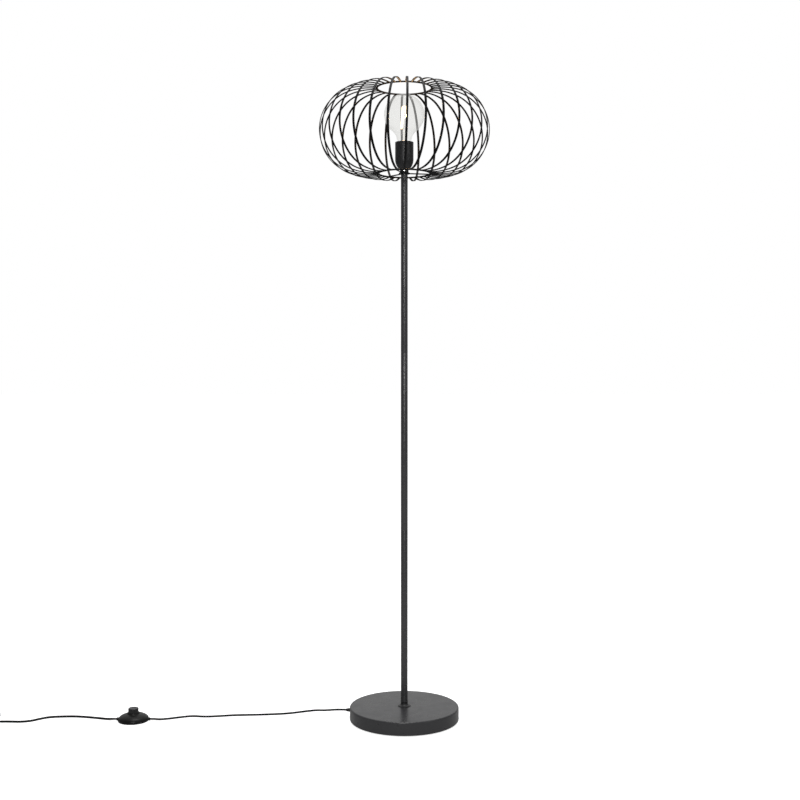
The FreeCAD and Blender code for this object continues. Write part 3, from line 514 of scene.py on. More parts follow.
# ---- mesh making ----------------------------------------------------------------------------------------
def linked(name: str, data: bpy.types.ID) -> bpy.types.Object:
    """Put an object in the scene at the origin.

    Args:
        name: The object's name.
        data: Its mesh, curve, light or camera.

    Returns:
        The new object.
    """
    made = bpy.data.objects.new(name, data)
    bpy.context.scene.collection.objects.link(made)
    return made


def shaded(piece: bpy.types.Object, crease: float = CREASE) -> bpy.types.Object:
    """Shade a piece smooth, with its creases kept sharp.

    Args:
        piece: The piece.
        crease: Angle in degrees from which an edge stays sharp.

    Returns:
        The same piece.
    """
    mesh = piece.data
    mesh.polygons.foreach_set("use_smooth", [True] * len(mesh.polygons))
    mesh.set_sharp_from_angle(angle=math.radians(crease))
    return piece


def from_bmesh(name: str, shell: bmesh.types.BMesh) -> bpy.types.Object:
    """Close a bmesh into a piece whose faces point outwards.

    Args:
        name: The piece's name.
        shell: The bmesh, which is freed.

    Returns:
        The new object.
    """
    bmesh.ops.remove_doubles(shell, verts=shell.verts, dist=SAME_PLACE)
    bmesh.ops.recalc_face_normals(shell, faces=shell.faces)
    mesh = bpy.data.meshes.new(name)
    shell.to_mesh(mesh)
    shell.free()
    return linked(name, mesh)


def plain_mesh(source: bpy.types.Object) -> bpy.types.Mesh:
    """Mesh of an object with its modifiers applied.

    Args:
        source: The object, which is removed.

    Returns:
        The mesh.
    """
    graph = bpy.context.evaluated_depsgraph_get()
    mesh = bpy.data.meshes.new_from_object(source.evaluated_get(graph), depsgraph=graph)
    bpy.data.objects.remove(source)
    return mesh


def stitch(shell: bmesh.types.BMesh, rings: Sequence[list], closed: bool = True) -> None:
    """Join neighbouring rings of corners with faces.

    Args:
        shell: The bmesh.
        rings: Rings with equally many corners, in order.
        closed: Whether the last ring joins the first.
    """
    for low, high in zip(rings, rings[1:] + rings[:1] if closed else rings[1:]):
        for k in range(len(low)):
            after = (k + 1) % len(low)
            corners = [low[k], low[after], high[after], high[k]]
            corners = [corner for j, corner in enumerate(corners) if corner not in corners[:j]]
            if len(corners) > 2:
                shell.faces.new(corners)


def arc_points(centre: Point2, radius: float, start: float, end: float, steps: int) -> list[Point2]:
    """Points of an arc.

    Args:
        centre: The arc's centre.
        radius: Its radius.
        start: Start angle in degrees.
        end: End angle in degrees.
        steps: Number of steps.

    Returns:
        The points, both ends included.
    """
    found = []
    for step in range(steps + 1):
        angle = math.radians(start + (end - start) * step / steps)
        found.append((centre[0] + radius * math.cos(angle), centre[1] + radius * math.sin(angle)))
    return found


class Profile:
    """A closed outline of (radius, height) points that a lathe turns about an upright axis."""

    def __init__(self, radius: float, height: float) -> None:
        """Start the outline.

        Args:
            radius: Distance of the first point from the axis.
            height: Height of the first point.
        """
        self.points: list[Point2] = [(radius, height)]

    def to(self, radius: float, height: float) -> Profile:
        """Go straight to a point."""
        self.points.append((radius, height))
        return self

    def bend(self, centre: Point2, radius: float, start: float, end: float, steps: int) -> Profile:
        """Follow an arc.

        Args:
            centre: The arc's centre as (radius, height).
            radius: The arc's own radius.
            start: Start angle in degrees, where 0 points outwards and 90 up.
            end: End angle in degrees.
            steps: Number of straight steps.

        Returns:
            The same outline.
        """
        self.points += arc_points(centre, radius, start, end, steps)
        return self

    def turned(
        self, name: str, steps: int = 96, axis: Point2 = (0.0, 0.0), crease: float = CREASE
    ) -> bpy.types.Object:
        """Turn the outline once round.

        Args:
            name: The piece's name.
            steps: Number of steps round the axis.
            axis: Where the axis stands, as (x, y).
            crease: Angle in degrees from which an edge stays sharp.

        Returns:
            The turned piece.
        """
        shell = bmesh.new()
        rings = []
        for radius, height in self.points:
            if radius < SAME_PLACE:
                rings.append([shell.verts.new((*axis, height))] * steps)
                continue
            round_axis = arc_points(axis, radius, 0.0, 360.0, steps)[:-1]
            rings.append([shell.verts.new((*place, height)) for place in round_axis])
        stitch(shell, rings)
        return shaded(from_bmesh(name, shell), crease)


def turned_bar(name: str, radius: float, bar: float, height: float, steps: int = 192) -> bpy.types.Object:
    """A closed ring of round bar about the Z axis.

    Args:
        name: The piece's name.
        radius: Radius of the bar's centreline.
        bar: Radius of the bar.
        height: Height of the centreline.
        steps: Number of steps round the axis.

    Returns:
        The ring.
    """
    sides = 14
    side = 360 / sides
    outline = Profile(radius + bar, height).bend((radius, height), bar, side, 360 - side, sides - 2)
    return outline.turned(name, steps, crease=60.0)


def swept(
    name: str, centres: Sequence[Vector], outline: Sequence[Point2], across: Sequence[Vector], crease: float
) -> bpy.types.Object:
    """Sweep a closed outline along a line of points and close both ends.

    Args:
        name: The piece's name.
        centres: The points of the line.
        outline: The outline's points as (across, up).
        across: Direction of the outline's first axis at each point.
        crease: Angle in degrees from which an edge stays sharp.

    Returns:
        The swept piece.
    """
    shell = bmesh.new()
    rings = []
    last = len(centres) - 1
    for k, (centre, side) in enumerate(zip(centres, across)):
        ahead = centres[min(k + 1, last)] - centres[max(k - 1, 0)]
        up = side.cross(ahead).normalized()
        rings.append([shell.verts.new(centre + side * x + up * y) for x, y in outline])
    stitch(shell, rings, closed=False)
    shell.faces.new(rings[0])
    shell.faces.new(rings[-1])
    return shaded(from_bmesh(name, shell), crease)


def polyline(name: str, points: Sequence[Vector]) -> bpy.types.Object:
    """A line of edges through points.

    Args:
        name: The object's name.
        points: The points in order.

    Returns:
        The object.
    """
    mesh = bpy.data.meshes.new(name)
    mesh.from_pydata([tuple(point) for point in points], [(k, k + 1) for k in range(len(points) - 1)], [])
    return linked(name, mesh)


def middle_of(node: str) -> Vector:
    """Middle of a CAD node's box."""
    low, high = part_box(node)
    return (low + high) / 2


# ---- repeated forms -------------------------------------------------------------------------------------
class Template(Enum):
    """What a pattern repeats."""

    LINE = "a centreline that becomes a round bar"
    SOLID = "a finished solid"


class Layout(Enum):
    """Where a pattern's copies stand."""

    ROUND = "at even angles about the Z axis"
    ROW = "in a straight row"


class PatternTree(Wiring):
    """A node tree that repeats a template, with named inputs for its sizes."""

    def __init__(self, name: str, template: Template, layout: Layout) -> None:
        """Build the tree.

        Args:
            name: The tree's name.
            template: What it repeats.
            layout: Where the copies stand.
        """
        super().__init__(bpy.data.node_groups.new(name, "GeometryNodeTree"))
        self.sockets: dict[str, str] = {}
        for label, kind in (
            ("Template", "Geometry"),
            ("Bar radius", "Float"),
            ("Bar sides", "Int"),
            ("Copies", "Int"),
            ("First angle", "Float"),
            ("Step", "Vector"),
            ("Shrink", "Float"),
            ("Finish", "Material"),
        ):
            self.sockets[label] = self.socket(label, "INPUT", kind)
        self.socket("Geometry", "OUTPUT", "Geometry")
        self.entry = self.tree.nodes.new("NodeGroupInput").outputs
        leave = self.tree.nodes.new("NodeGroupOutput").inputs
        body = self.bar() if template is Template.LINE else self.entry["Template"]
        copies = self.round_axis(body) if layout is Layout.ROUND else self.in_row(body)
        plain = self.node("GeometryNodeRealizeInstances", Geometry=copies)
        dressed = self.node("GeometryNodeSetMaterial", Geometry=plain, Material=self.entry["Finish"])
        self.tree.links.new(dressed, leave["Geometry"])

    def socket(self, label: str, way: str, kind: str) -> str:
        """Add a named socket to the tree's face.

        Args:
            label: Its name.
            way: INPUT or OUTPUT.
            kind: What it carries.

        Returns:
            Its identifier.
        """
        face = self.tree.interface
        return face.new_socket(name=label, in_out=way, socket_type="NodeSocket" + kind).identifier

    def bar(self) -> Socket:
        """Sweep a round bar along the template's edges."""
        path = self.node("GeometryNodeMeshToCurve", Mesh=self.entry["Template"])
        sides, radius = self.entry["Bar sides"], self.entry["Bar radius"]
        circle = self.node("GeometryNodeCurvePrimitiveCircle", Resolution=sides, Radius=radius)
        return self.node("GeometryNodeCurveToMesh", Curve=path, Profile_Curve=circle, Fill_Caps=True)

    def round_axis(self, body: Socket) -> Socket:
        """Copies at even angles about the Z axis."""
        spots = self.node("GeometryNodePoints", Count=self.entry["Copies"])
        pitch = self.math("DIVIDE", FULL_TURN, self.entry["Copies"])
        turn = self.math("MULTIPLY", self.node("GeometryNodeInputIndex"), pitch)
        angle = self.math("ADD", turn, self.entry["First angle"])
        euler = self.node("ShaderNodeCombineXYZ", Z=angle)
        rotation = self.node("FunctionNodeEulerToRotation", Euler=euler)
        return self.node("GeometryNodeInstanceOnPoints", Points=spots, Instance=body, Rotation=rotation)

    def in_row(self, body: Socket) -> Socket:
        """Copies in a straight row, each scaled down by one more share than the one before."""
        index = self.node("GeometryNodeInputIndex")
        step = self.entry["Step"]
        place = self.node("ShaderNodeVectorMath", setup={"operation": "SCALE"}, Vector=step, Scale=index)
        spots = self.node("GeometryNodePoints", Count=self.entry["Copies"], Position=place)
        loss = self.math("MULTIPLY", index, self.entry["Shrink"])
        scale = self.math("SUBTRACT", 1.0, loss)
        return self.node("GeometryNodeInstanceOnPoints", Points=spots, Instance=body, Scale=scale)

    def apply(
        self, template: bpy.types.Object, name: str, finish: Surface, **values: object
    ) -> bpy.types.Object:
        """Run the tree on a template.

        Args:
            template: The template, which is removed.
            name: The finished piece's name.
            finish: The finish of all copies.
            values: The tree's inputs by name, with underscores for spaces.

        Returns:
            The pattern as a plain mesh piece.
        """
        modifier = template.modifiers.new("pattern", "NODES")
        modifier.node_group = self.tree
        modifier[self.sockets["Finish"]] = finish.material()
        for key, value in values.items():
            modifier[self.sockets[key.replace("_", " ")]] = value
        return shaded(linked(name, plain_mesh(template)), crease=40.0)


# ---- pieces on the frame --------------------------------------------------------------------------------
@dataclass
class Patterns:
    """The pattern trees that the sub-assemblies share."""

    bars: PatternTree = field(
        default_factory=lambda: PatternTree("bars_round_axis", Template.LINE, Layout.ROUND)
    )
    solids: PatternTree = field(
        default_factory=lambda: PatternTree("solids_round_axis", Template.SOLID, Layout.ROUND)
    )
    ribs: PatternTree = field(default_factory=lambda: PatternTree("ribs_in_row", Template.SOLID, Layout.ROW))


@dataclass(frozen=True)
class RibRow:
    """Raised ribs of round bar round a guard, in a row up the Z axis."""

    count: int
    centre: float
    bar: float
    start: float
    growth: float = 0.0
    steps: int = 32

    def made(
        self, patterns: Patterns, name: str, finish: Surface, pitch: float, foot: float = 0.0
    ) -> bpy.types.Object:
        """Build the row.

        Args:
            patterns: The shared trees.
            name: The row's name.
            finish: Its finish.
            pitch: Distance from rib to rib.
            foot: Height from which the row's start is measured.

        Returns:
            The row.
        """
        rib = turned_bar("rib", self.centre, self.bar, foot + self.start, self.steps)
        step = (0.0, 0.0, pitch)
        return patterns.ribs.apply(rib, name, finish, Copies=self.count, Step=step, Shrink=-self.growth)


@dataclass
class SubAssembly:
    """Pieces that ride on one CAD body.

    Attributes:
        frame: The loaded CAD frame.
        patterns: The shared trees.
        body: The CAD body.
    """

    frame: dict
    patterns: Patterns
    body: str = "lamp"

    def fit(self, piece: bpy.types.Object, finish: Surface, *nodes: str) -> bpy.types.Object:
        """Dress a piece, put it on its body and hide the CAD nodes that it stands for.

        Args:
            piece: The piece.
            finish: Its finish.
            nodes: The CAD nodes it replaces.

        Returns:
            The same piece.
        """
        piece.data.materials.clear()
        piece.data.materials.append(finish.material())
        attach(piece, self.body)
        if nodes:
            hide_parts(*nodes)
        LOG.info("%s: %d faces on %s", piece.name, len(piece.data.polygons), self.body)
        return piece

    def paint(self, finish: Surface, *nodes: str) -> None:
        """Give CAD nodes that stay in view their finish.

        Args:
            finish: The finish.
            nodes: The CAD nodes.
        """
        for name in nodes:
            node = self.frame["nodes"][name]
            if not node.material_slots:
                node.data.materials.append(None)
            for place in node.material_slots:
                place.material = finish.material()
            LOG.info("%s: CAD piece with %s", name, finish.value.name)


@dataclass
class Base(SubAssembly):
    """Weighted base: spun cover, bottom plate, pads and the bushing where the lead leaves."""

    edge: float = 3.5 * MM
    sheet: float = 1.5 * MM
    stud_hole: float = 5.3 * MM
    lip: float = 2.0 * MM
    pad_radius: float = 9.0 * MM
    pad_circle: float = 110.0 * MM
    pad_edge: float = 0.8 * MM
    pads: int = 6
    exit_azimuth: float = 170.0
    exit_height: float = 17.0 * MM
    bushing_end: float = 140.6 * MM
    bushing_root: float = 1.0 * MM
    bushing_rim: float = 2.4 * MM
    bushing_flange: float = 5.4 * MM
    bushing_neck: float = 4.5 * MM
    bushing_tip: float = 3.4 * MM
    soft: float = 0.8 * MM
    chamfer: float = 0.5 * MM
    ribs: RibRow = RibRow(count=4, centre=4.15 * MM, bar=0.5 * MM, start=3.6 * MM)
    rib_margin: float = 4.5 * MM

    def cover(self) -> bpy.types.Object:
        """Turn the spun cover.

        Returns:
            The cover.
        """
        low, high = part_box("base_cover")
        outer = high.x
        shoulder = outer - self.edge
        inner = self.edge - self.sheet
        outline = Profile(self.stud_hole, high.z)
        outline.bend((shoulder, high.z - self.edge), self.edge, 90, 0, 12)
        outline.bend((shoulder, low.z + self.edge), self.edge, 0, -90, 12)
        outline.to(shoulder - self.lip, low.z).to(shoulder - self.lip, low.z + self.sheet)
        outline.bend((shoulder, low.z + self.edge), inner, -90, 0, 6)
        outline.bend((shoulder, high.z - self.edge), inner, 0, 90, 6)
        outline.to(self.stud_hole, high.z - self.sheet)
        return outline.turned("base_shell", steps=256, crease=25.0)

    def feet(self) -> bpy.types.Object:
        """Rubber pads with a soft edge, round the base's underside.

        Returns:
            The pads as one piece.
        """
        low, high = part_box("base_feet")
        outline = Profile(0.0, low.z).to(self.pad_radius - self.pad_edge, low.z)
        outline.bend((self.pad_radius - self.pad_edge, low.z + self.pad_edge), self.pad_edge, -90, 0, 4)
        outline.to(self.pad_radius, high.z).to(0.0, high.z)
        pad = outline.turned("pad", steps=32, axis=(self.pad_circle, 0.0))
        return self.patterns.solids.apply(pad, "base_pads", Surface.RUBBER, Copies=self.pads, First_angle=0.0)

    def bushing(self) -> list[bpy.types.Object]:
        """The tapered guard round the lead, and its ribs.

        Returns:
            The guard and the ribs.
        """
        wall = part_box("base_cover")[1].x
        root, rim, end = wall - self.bushing_root, wall + self.bushing_rim, self.bushing_end
        soft, tip = self.soft, self.bushing_tip
        outline = Profile(0.0, root).to(self.bushing_flange, root)
        outline.bend((self.bushing_flange - soft, rim - soft), soft, 0, 90, 4)
        outline.to(self.bushing_neck, rim).to(tip, end - self.chamfer)
        outline.to(tip - self.chamfer, end).to(0.0, end)
        guard = outline.turned("base_bushing", steps=40)
        pitch = (end - wall - self.rib_margin) / self.ribs.count
        ribs = self.ribs.made(self.patterns, "base_bushing_ribs", Surface.PLUG, pitch, wall)
        for vertex in ribs.data.vertices:
            along = (vertex.co.z - rim) / (end - rim)
            narrow = 1 - (1 - tip / self.bushing_neck) * max(0.0, min(1.0, along))
            vertex.co.x *= narrow
            vertex.co.y *= narrow
        turn = (
            Matrix.Translation((0, 0, self.exit_height))
            @ Matrix.Rotation(math.radians(self.exit_azimuth), 4, "Z")
            @ Matrix.Rotation(math.pi / 2, 4, "Y")
        )
        for piece in (guard, ribs):
            piece.data.transform(turn)
        return [guard, ribs]

    def build(self) -> None:
        """Make and dress the whole base."""
        self.fit(self.cover(), Surface.BASE_COAT, "base_cover")
        self.fit(self.feet(), Surface.RUBBER, "base_feet")
        guard, ribs = self.bushing()
        self.fit(guard, Surface.PLUG, "base_cord_bushing")
        self.fit(ribs, Surface.PLUG)
        self.paint(Surface.ZINC, "base_bottom_plate", "base_screws", "base_stud", "base_washer", "base_nut")
        self.paint(Surface.CASTING, "base_weight")


@dataclass
class Pole(SubAssembly):
    """Three screwed lengths of tube and the flared collar at the foot."""

    edge: float = 0.35 * MM
    wall: float = 1.0 * MM
    collar_gap: float = 0.1 * MM
    collar_wall: float = 1.3 * MM
    collar_rim: float = 1.6 * MM
    collar_sweep: float = 7.2 * MM
    sweep_reach: float = 0.72
    sweep_start: float = 262.0
    rim_soft: float = 0.8 * MM
    neck_soft: float = 0.5 * MM

    def tube(self, node: str) -> bpy.types.Object:
        """Turn one length with rounded end edges.

        Args:
            node: The CAD node of the length.

        Returns:
            The tube.
        """
        low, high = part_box(node)
        outer = high.x
        inner = outer - self.wall
        outline = Profile(inner, low.z).to(outer - self.edge, low.z)
        outline.bend((outer - self.edge, low.z + self.edge), self.edge, -90, 0, 4)
        outline.bend((outer - self.edge, high.z - self.edge), self.edge, 0, 90, 4)
        outline.to(inner, high.z)
        return outline.turned(node + "_tube", steps=64)

    def collar(self) -> bpy.types.Object:
        """Turn the flared collar.

        Returns:
            The collar.
        """
        low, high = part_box("pole_collar")
        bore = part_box("pole_lower")[1].x + self.collar_gap
        neck = bore + self.collar_wall
        rim_soft, neck_soft, flare = self.rim_soft, self.neck_soft, self.collar_sweep
        outline = Profile(bore, low.z).to(high.x - rim_soft / 2, low.z)
        outline.bend((high.x - rim_soft, low.z + rim_soft), rim_soft, -60, 70, 6)
        centre = (neck + flare * self.sweep_reach, low.z + self.collar_rim + flare)
        outline.bend(centre, flare, self.sweep_start, 180, 14)
        outline.bend((neck - neck_soft, high.z - neck_soft), neck_soft, 0, 90, 4)
        outline.to(bore, high.z)
        return outline.turned("pole_foot_collar", steps=96)

    def build(self) -> None:
        """Make and dress the pole."""
        for node in ("pole_lower", "pole_middle", "pole_upper"):
            self.fit(self.tube(node), Surface.POLE_COAT, node)
        self.fit(self.collar(), Surface.BLACK_COAT, "pole_collar")
        self.paint(Surface.ZINC, "pole_bushes", "pole_studs")
        self.paint(Surface.FLEX, "lamp_cable")


@dataclass
class Cage(SubAssembly):
    """Thirty bent flat wires between two rings, carried by three arms."""

    wires: int = 30
    width: float = 5.4 * MM
    thick: float = 1.9 * MM
    core: float = 1.5 * MM
    edge: float = 0.5 * MM
    first_azimuth: float = 7.45
    lean: float = 1.5
    equator: float = 198.25 * MM
    crest: float = 85.2 * MM
    side_arc: float = 99.0 * MM
    side_steps: int = 40
    crown_steps: int = 12
    ring_bar: float = 1.95 * MM
    ring_core: float = 1.6 * MM
    arm: float = 1.5 * MM
    arms: int = 3
    arm_overlap: float = 1.0 * MM
    first_arm: float = 10.0
    weld: float = 2.0 * MM
    weld_foot: float = 0.8

    def centreline(self, top: float, bottom: float, middle: float, half: float) -> list[Vector]:
        """One wire's centreline in the XZ plane, from the top ring over the side to the bottom ring.

        Args:
            top: The top ring's radius.
            bottom: The bottom ring's radius.
            middle: Height of the cage's middle.
            half: Half the height of the centreline.

        Returns:
            The points of the three arcs.
        """
        side_centre = self.equator - self.side_arc
        offset = side_centre - self.crest
        crown = (offset**2 + half**2 - self.side_arc**2) / (2 * (half - self.side_arc))
        tangent = math.degrees(math.atan2(crown - half, offset))
        upper = math.degrees(math.acos((top - self.crest) / crown))
        lower = math.degrees(math.acos((bottom - self.crest) / crown))
        path = arc_points((self.crest, middle + half - crown), crown, upper, tangent, self.crown_steps)
        path += arc_points((side_centre, middle), self.side_arc, tangent, -tangent, self.side_steps)[1:]
        foot = (self.crest, middle - half + crown)
        path += arc_points(foot, crown, -tangent, -lower, self.crown_steps)[1:]
        tilt = Matrix.Translation((0, 0, middle)) @ Matrix.Rotation(math.radians(-self.lean), 4, "X")
        return [tilt @ Vector((radius, 0.0, height - middle)) for radius, height in path]

    def flat_wire(self, path: Sequence[Vector]) -> bpy.types.Object:
        """Sweep one flat wire with rounded edges, its wide face outwards.

        Args:
            path: The wire's centreline.

        Returns:
            The wire.
        """
        soft = self.edge
        outline = []
        for x, y, start in ((1, 1, 0), (-1, 1, 90), (-1, -1, 180), (1, -1, 270)):
            centre = (x * (self.width / 2 - soft), y * (self.thick / 2 - soft))
            outline += arc_points(centre, soft, start, start + 90, 2)
        side = Matrix.Rotation(math.radians(-self.lean), 3, "X") @ Vector((0, 1, 0))
        return swept("flat_wire", path, outline, [side] * len(path), crease=40.0)

    def build(self) -> None:
        """Make and dress the cage."""
        nodes = sorted(name for name in self.frame["nodes"] if name.startswith("cage_wires_"))
        low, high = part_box(nodes[0])
        middle = (low.z + high.z) / 2
        half = (high.z - low.z) / 2 - self.core / 2
        rings = {}
        for node in ("cage_top_ring", "cage_bottom_ring"):
            radius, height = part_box(node)[1].x - self.ring_core, middle_of(node).z
            rings[node] = (radius, height)
            self.fit(turned_bar(node + "_bar", radius, self.ring_bar, height), Surface.WIRE_COAT, node)
        top, bottom = rings["cage_top_ring"], rings["cage_bottom_ring"]
        path = self.centreline(top[0], bottom[0], middle, half)
        first = math.radians(self.first_azimuth)
        wires = self.patterns.solids.apply(
            self.flat_wire(path), "cage_wires", Surface.WIRE_COAT, Copies=self.wires, First_angle=first
        )
        self.fit(wires, Surface.WIRE_COAT, *nodes)
        for label, (radius, height), end in (("top", top, path[0]), ("bottom", bottom, path[-1])):
            outward = math.atan2(end.y, end.x)
            foot = self.weld * self.weld_foot
            bead = Profile(0.0, height - foot)
            bead.bend((0.0, height), self.weld, -60, 60, 8).to(0.0, height + foot)
            drop = bead.turned("bead", steps=12, axis=(radius + self.ring_bar, 0.0))
            welds = self.patterns.solids.apply(
                drop, f"cage_{label}_welds", Surface.WIRE_COAT, Copies=self.wires, First_angle=first + outward
            )
            self.fit(welds, Surface.WIRE_COAT)
        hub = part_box("spider_hub")[1]
        start = Vector((hub.x - self.arm_overlap, 0.0, bottom[1]))
        end = Vector((bottom[0], 0.0, bottom[1]))
        arms = self.patterns.bars.apply(
            polyline("arm_line", [start, end]), "cage_arms", Surface.WIRE_COAT,
            Bar_radius=self.arm, Bar_sides=14, Copies=self.arms, First_angle=math.radians(self.first_arm),
        )
        self.fit(arms, Surface.WIRE_COAT, "spider_arms")
        self.paint(Surface.WIRE_COAT, "spider_hub")


@dataclass
class Holder(SubAssembly):
    """Lamp holder in its drawn metal cup."""

    wall: float = 1.2 * MM
    bore: float = 5.2 * MM
    chamfer: float = 0.4 * MM
    neck_radius: float = 10.0 * MM
    neck_height: float = 7.0 * MM
    round_height: float = 31.0 * MM

    def cup(self) -> bpy.types.Object:
        """Turn the cup: straight above, rounded down to a short neck.

        Returns:
            The cup.
        """
        low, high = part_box("holder_cover")
        outer = high.x
        drop = self.round_height - self.neck_height
        swing = ((outer - self.neck_radius) ** 2 + drop**2) / (2 * (outer - self.neck_radius))
        shoulder = (outer - swing, low.z + self.round_height)
        foot = -math.degrees(math.asin(drop / swing))
        rim = self.wall / 2
        outline = Profile(self.bore, low.z).to(self.neck_radius - self.chamfer, low.z)
        outline.to(self.neck_radius, low.z + self.chamfer)
        outline.bend(shoulder, swing, foot, 0, 20)
        outline.bend((outer - rim, high.z - rim), rim, 0, 180, 8)
        outline.bend(shoulder, swing - self.wall, 0, foot, 16)
        outline.to(self.neck_radius - self.wall, low.z + self.wall).to(self.bore, low.z + self.wall)
        return outline.turned("holder_cup", steps=128)

    def build(self) -> None:
        """Make and dress the holder."""
        self.fit(self.cup(), Surface.BLACK_COAT, "holder_cover")
        self.paint(Surface.ZINC, "holder_set_screw", "holder_locknut", "holder_nipple")
        self.paint(Surface.HOLDER, "holder_dome", "holder_body")
        self.paint(Surface.BRASS, "holder_thread_shell", "holder_centre_contact", "holder_terminals")


@dataclass
class Bulb(SubAssembly):
    """Globe bulb: glass, stem, light-emitting rods and the screw cap."""

    body: str = "bulb"
    glass: float = 0.8 * MM
    neck: float = 12.5 * MM
    collar: float = 17.4 * MM
    collar_rise: float = 7.4 * MM
    join_angle: float = 50.0
    join_reach: float = 0.42
    neck_lean: Point2 = (0.12, 0.99)
    neck_steps: int = 14
    neck_above: float = 0.3 * MM
    neck_below: float = 9.8 * MM
    cap_foot: float = 8.6 * MM
    # how far out and up the foot slopes
    foot_slope: Point2 = (2.0 * MM, 0.6 * MM)
    foot_wall: float = 0.5 * MM
    cap_mouth: float = 1.0 * MM
    mouth_inside: float = 1.2 * MM
    cap_flare: float = 0.3 * MM
    cap_wall: float = 0.35 * MM
    cap_steps: int = 72
    thread_pitch: float = 3.62857 * MM
    thread_depth: float = 0.45 * MM
    thread_margin: float = 2.6 * MM
    thread_rows: int = 44
    thread_fade: float = 0.2
    rods: int = 4
    rod: float = 1.9 * MM
    rod_gap: float = 0.3 * MM
    # the rods' distance from the axis, at their feet and at their heads
    rod_circles: Point2 = (9.0 * MM, 4.5 * MM)

    def half(self, offset: float, top: float, cap_top: float, radius: float) -> list[Point2]:
        """Half outline of the glass from the top down to the neck.

        Args:
            offset: How far inside the outer skin it runs.
            top: Height of the globe's top.
            cap_top: Height of the cap's upper edge.
            radius: The globe's radius.

        Returns:
            The outline's points.
        """
        centre = top - radius
        ball = radius - offset
        points = arc_points((0.0, centre), ball, 90, -self.join_angle, 56)
        join = Vector(points[-1])
        neck = Vector((self.collar - offset, cap_top + self.collar_rise))
        reach = (join - neck).length * self.join_reach
        slope = math.radians(self.join_angle)
        leave = Vector((-math.sin(slope), -math.cos(slope))) * reach
        arrive = Vector(self.neck_lean) * reach
        for step in range(1, self.neck_steps + 1):
            share = step / self.neck_steps
            left = 1 - share
            spot = (
                join * left**3
                + (join + leave) * 3 * left**2 * share
                + (neck + arrive) * 3 * left * share**2
                + neck * share**3
            )
            points.append((spot.x, spot.y))
        points.append((self.neck - offset, cap_top + self.neck_above))
        points.append((self.neck - offset, cap_top - self.neck_below))
        return points

    def globe(self, cap_top: float) -> bpy.types.Object:
        """Turn the glass as a thin closed wall.

        Args:
            cap_top: Height of the cap's upper edge.

        Returns:
            The glass.
        """
        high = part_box("bulb_globe")[1]
        outline = Profile(0.0, high.z)
        outline.points = self.half(0.0, high.z, cap_top, high.x)
        outline.points += reversed(self.half(self.glass, high.z, cap_top, high.x))
        outline.points[0] = (0.0, outline.points[0][1])
        outline.points[-1] = (0.0, outline.points[-1][1])
        return outline.turned("bulb_glass_globe", steps=96, crease=60.0)

    def cap(self) -> bpy.types.Object:
        """Screw cap with its rolled thread.

        Returns:
            The cap.
        """
        low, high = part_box("bulb_cap")
        rim, foot, wall = high.x - self.cap_flare, self.cap_foot, self.cap_wall
        thread_low, thread_high = low.z + self.thread_margin, high.z - self.thread_margin
        rows = [(foot, low.z, 0.0), (foot + self.foot_slope[0], low.z + self.foot_slope[1], 0.0)]
        for k in range(self.thread_rows + 1):
            height = thread_low + (thread_high - thread_low) * k / self.thread_rows
            ease = min(1.0, min(k, self.thread_rows - k) / self.thread_rows / self.thread_fade)
            rows.append((rim - self.thread_depth / 2, height, ease * self.thread_depth / 2))
        rows += [(rim, high.z - self.cap_mouth, 0.0), (high.x, high.z, 0.0), (high.x - wall, high.z, 0.0)]
        rows += [(rim - 2 * wall, high.z - self.mouth_inside, 0.0), (rim - 3 * wall, thread_low, 0.0)]
        rows.append((foot, low.z + self.foot_wall, 0.0))
        shell = bmesh.new()
        rings = []
        for radius, height, wave in rows:
            ring = []
            for step in range(self.cap_steps):
                angle = FULL_TURN * step / self.cap_steps
                reach = radius + wave * math.cos(FULL_TURN * height / self.thread_pitch - angle)
                ring.append(shell.verts.new((reach * math.cos(angle), reach * math.sin(angle), height)))
            rings.append(ring)
        stitch(shell, rings)
        return shaded(from_bmesh("bulb_screw_cap", shell), crease=50.0)

    def filaments(self) -> bpy.types.Object:
        """Rods that lean in towards the top, with rounded ends.

        Returns:
            The rods as one piece.
        """
        low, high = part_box("bulb_filaments")
        foot = Vector((self.rod_circles[0], 0.0, low.z + self.rod_gap))
        head = Vector((self.rod_circles[1], 0.0, high.z - self.rod_gap))
        lean, length = (head - foot).normalized(), (head - foot).length
        outline = Profile(0.0, 0.0).bend((0.0, self.rod), self.rod, -80, 0, 5)
        outline.bend((0.0, length - self.rod), self.rod, 0, 80, 5).to(0.0, length)
        rod = outline.turned("rod", steps=14, crease=60.0)
        rod.data.transform(Matrix.Translation(foot) @ lean.to_track_quat("Z", "Y").to_matrix().to_4x4())
        return self.patterns.solids.apply(
            rod, "bulb_light_rods", Surface.FILAMENT, Copies=self.rods, First_angle=math.radians(45)
        )

    def build(self) -> None:
        """Make and dress the bulb."""
        cap_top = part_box("bulb_cap")[1].z
        self.fit(self.globe(cap_top), Surface.GLASS, "bulb_globe")
        self.fit(self.cap(), Surface.NICKEL, "bulb_cap")
        rods = self.filaments()
        rods.visible_diffuse = rods.visible_glossy = False
        self.fit(rods, Surface.FILAMENT, "bulb_filaments")
        self.paint(Surface.STEM_GLASS, "bulb_stem")
        self.paint(Surface.NICKEL, "bulb_support_wires", "bulb_tip_contact")
        self.paint(Surface.VITRITE, "bulb_insulator")


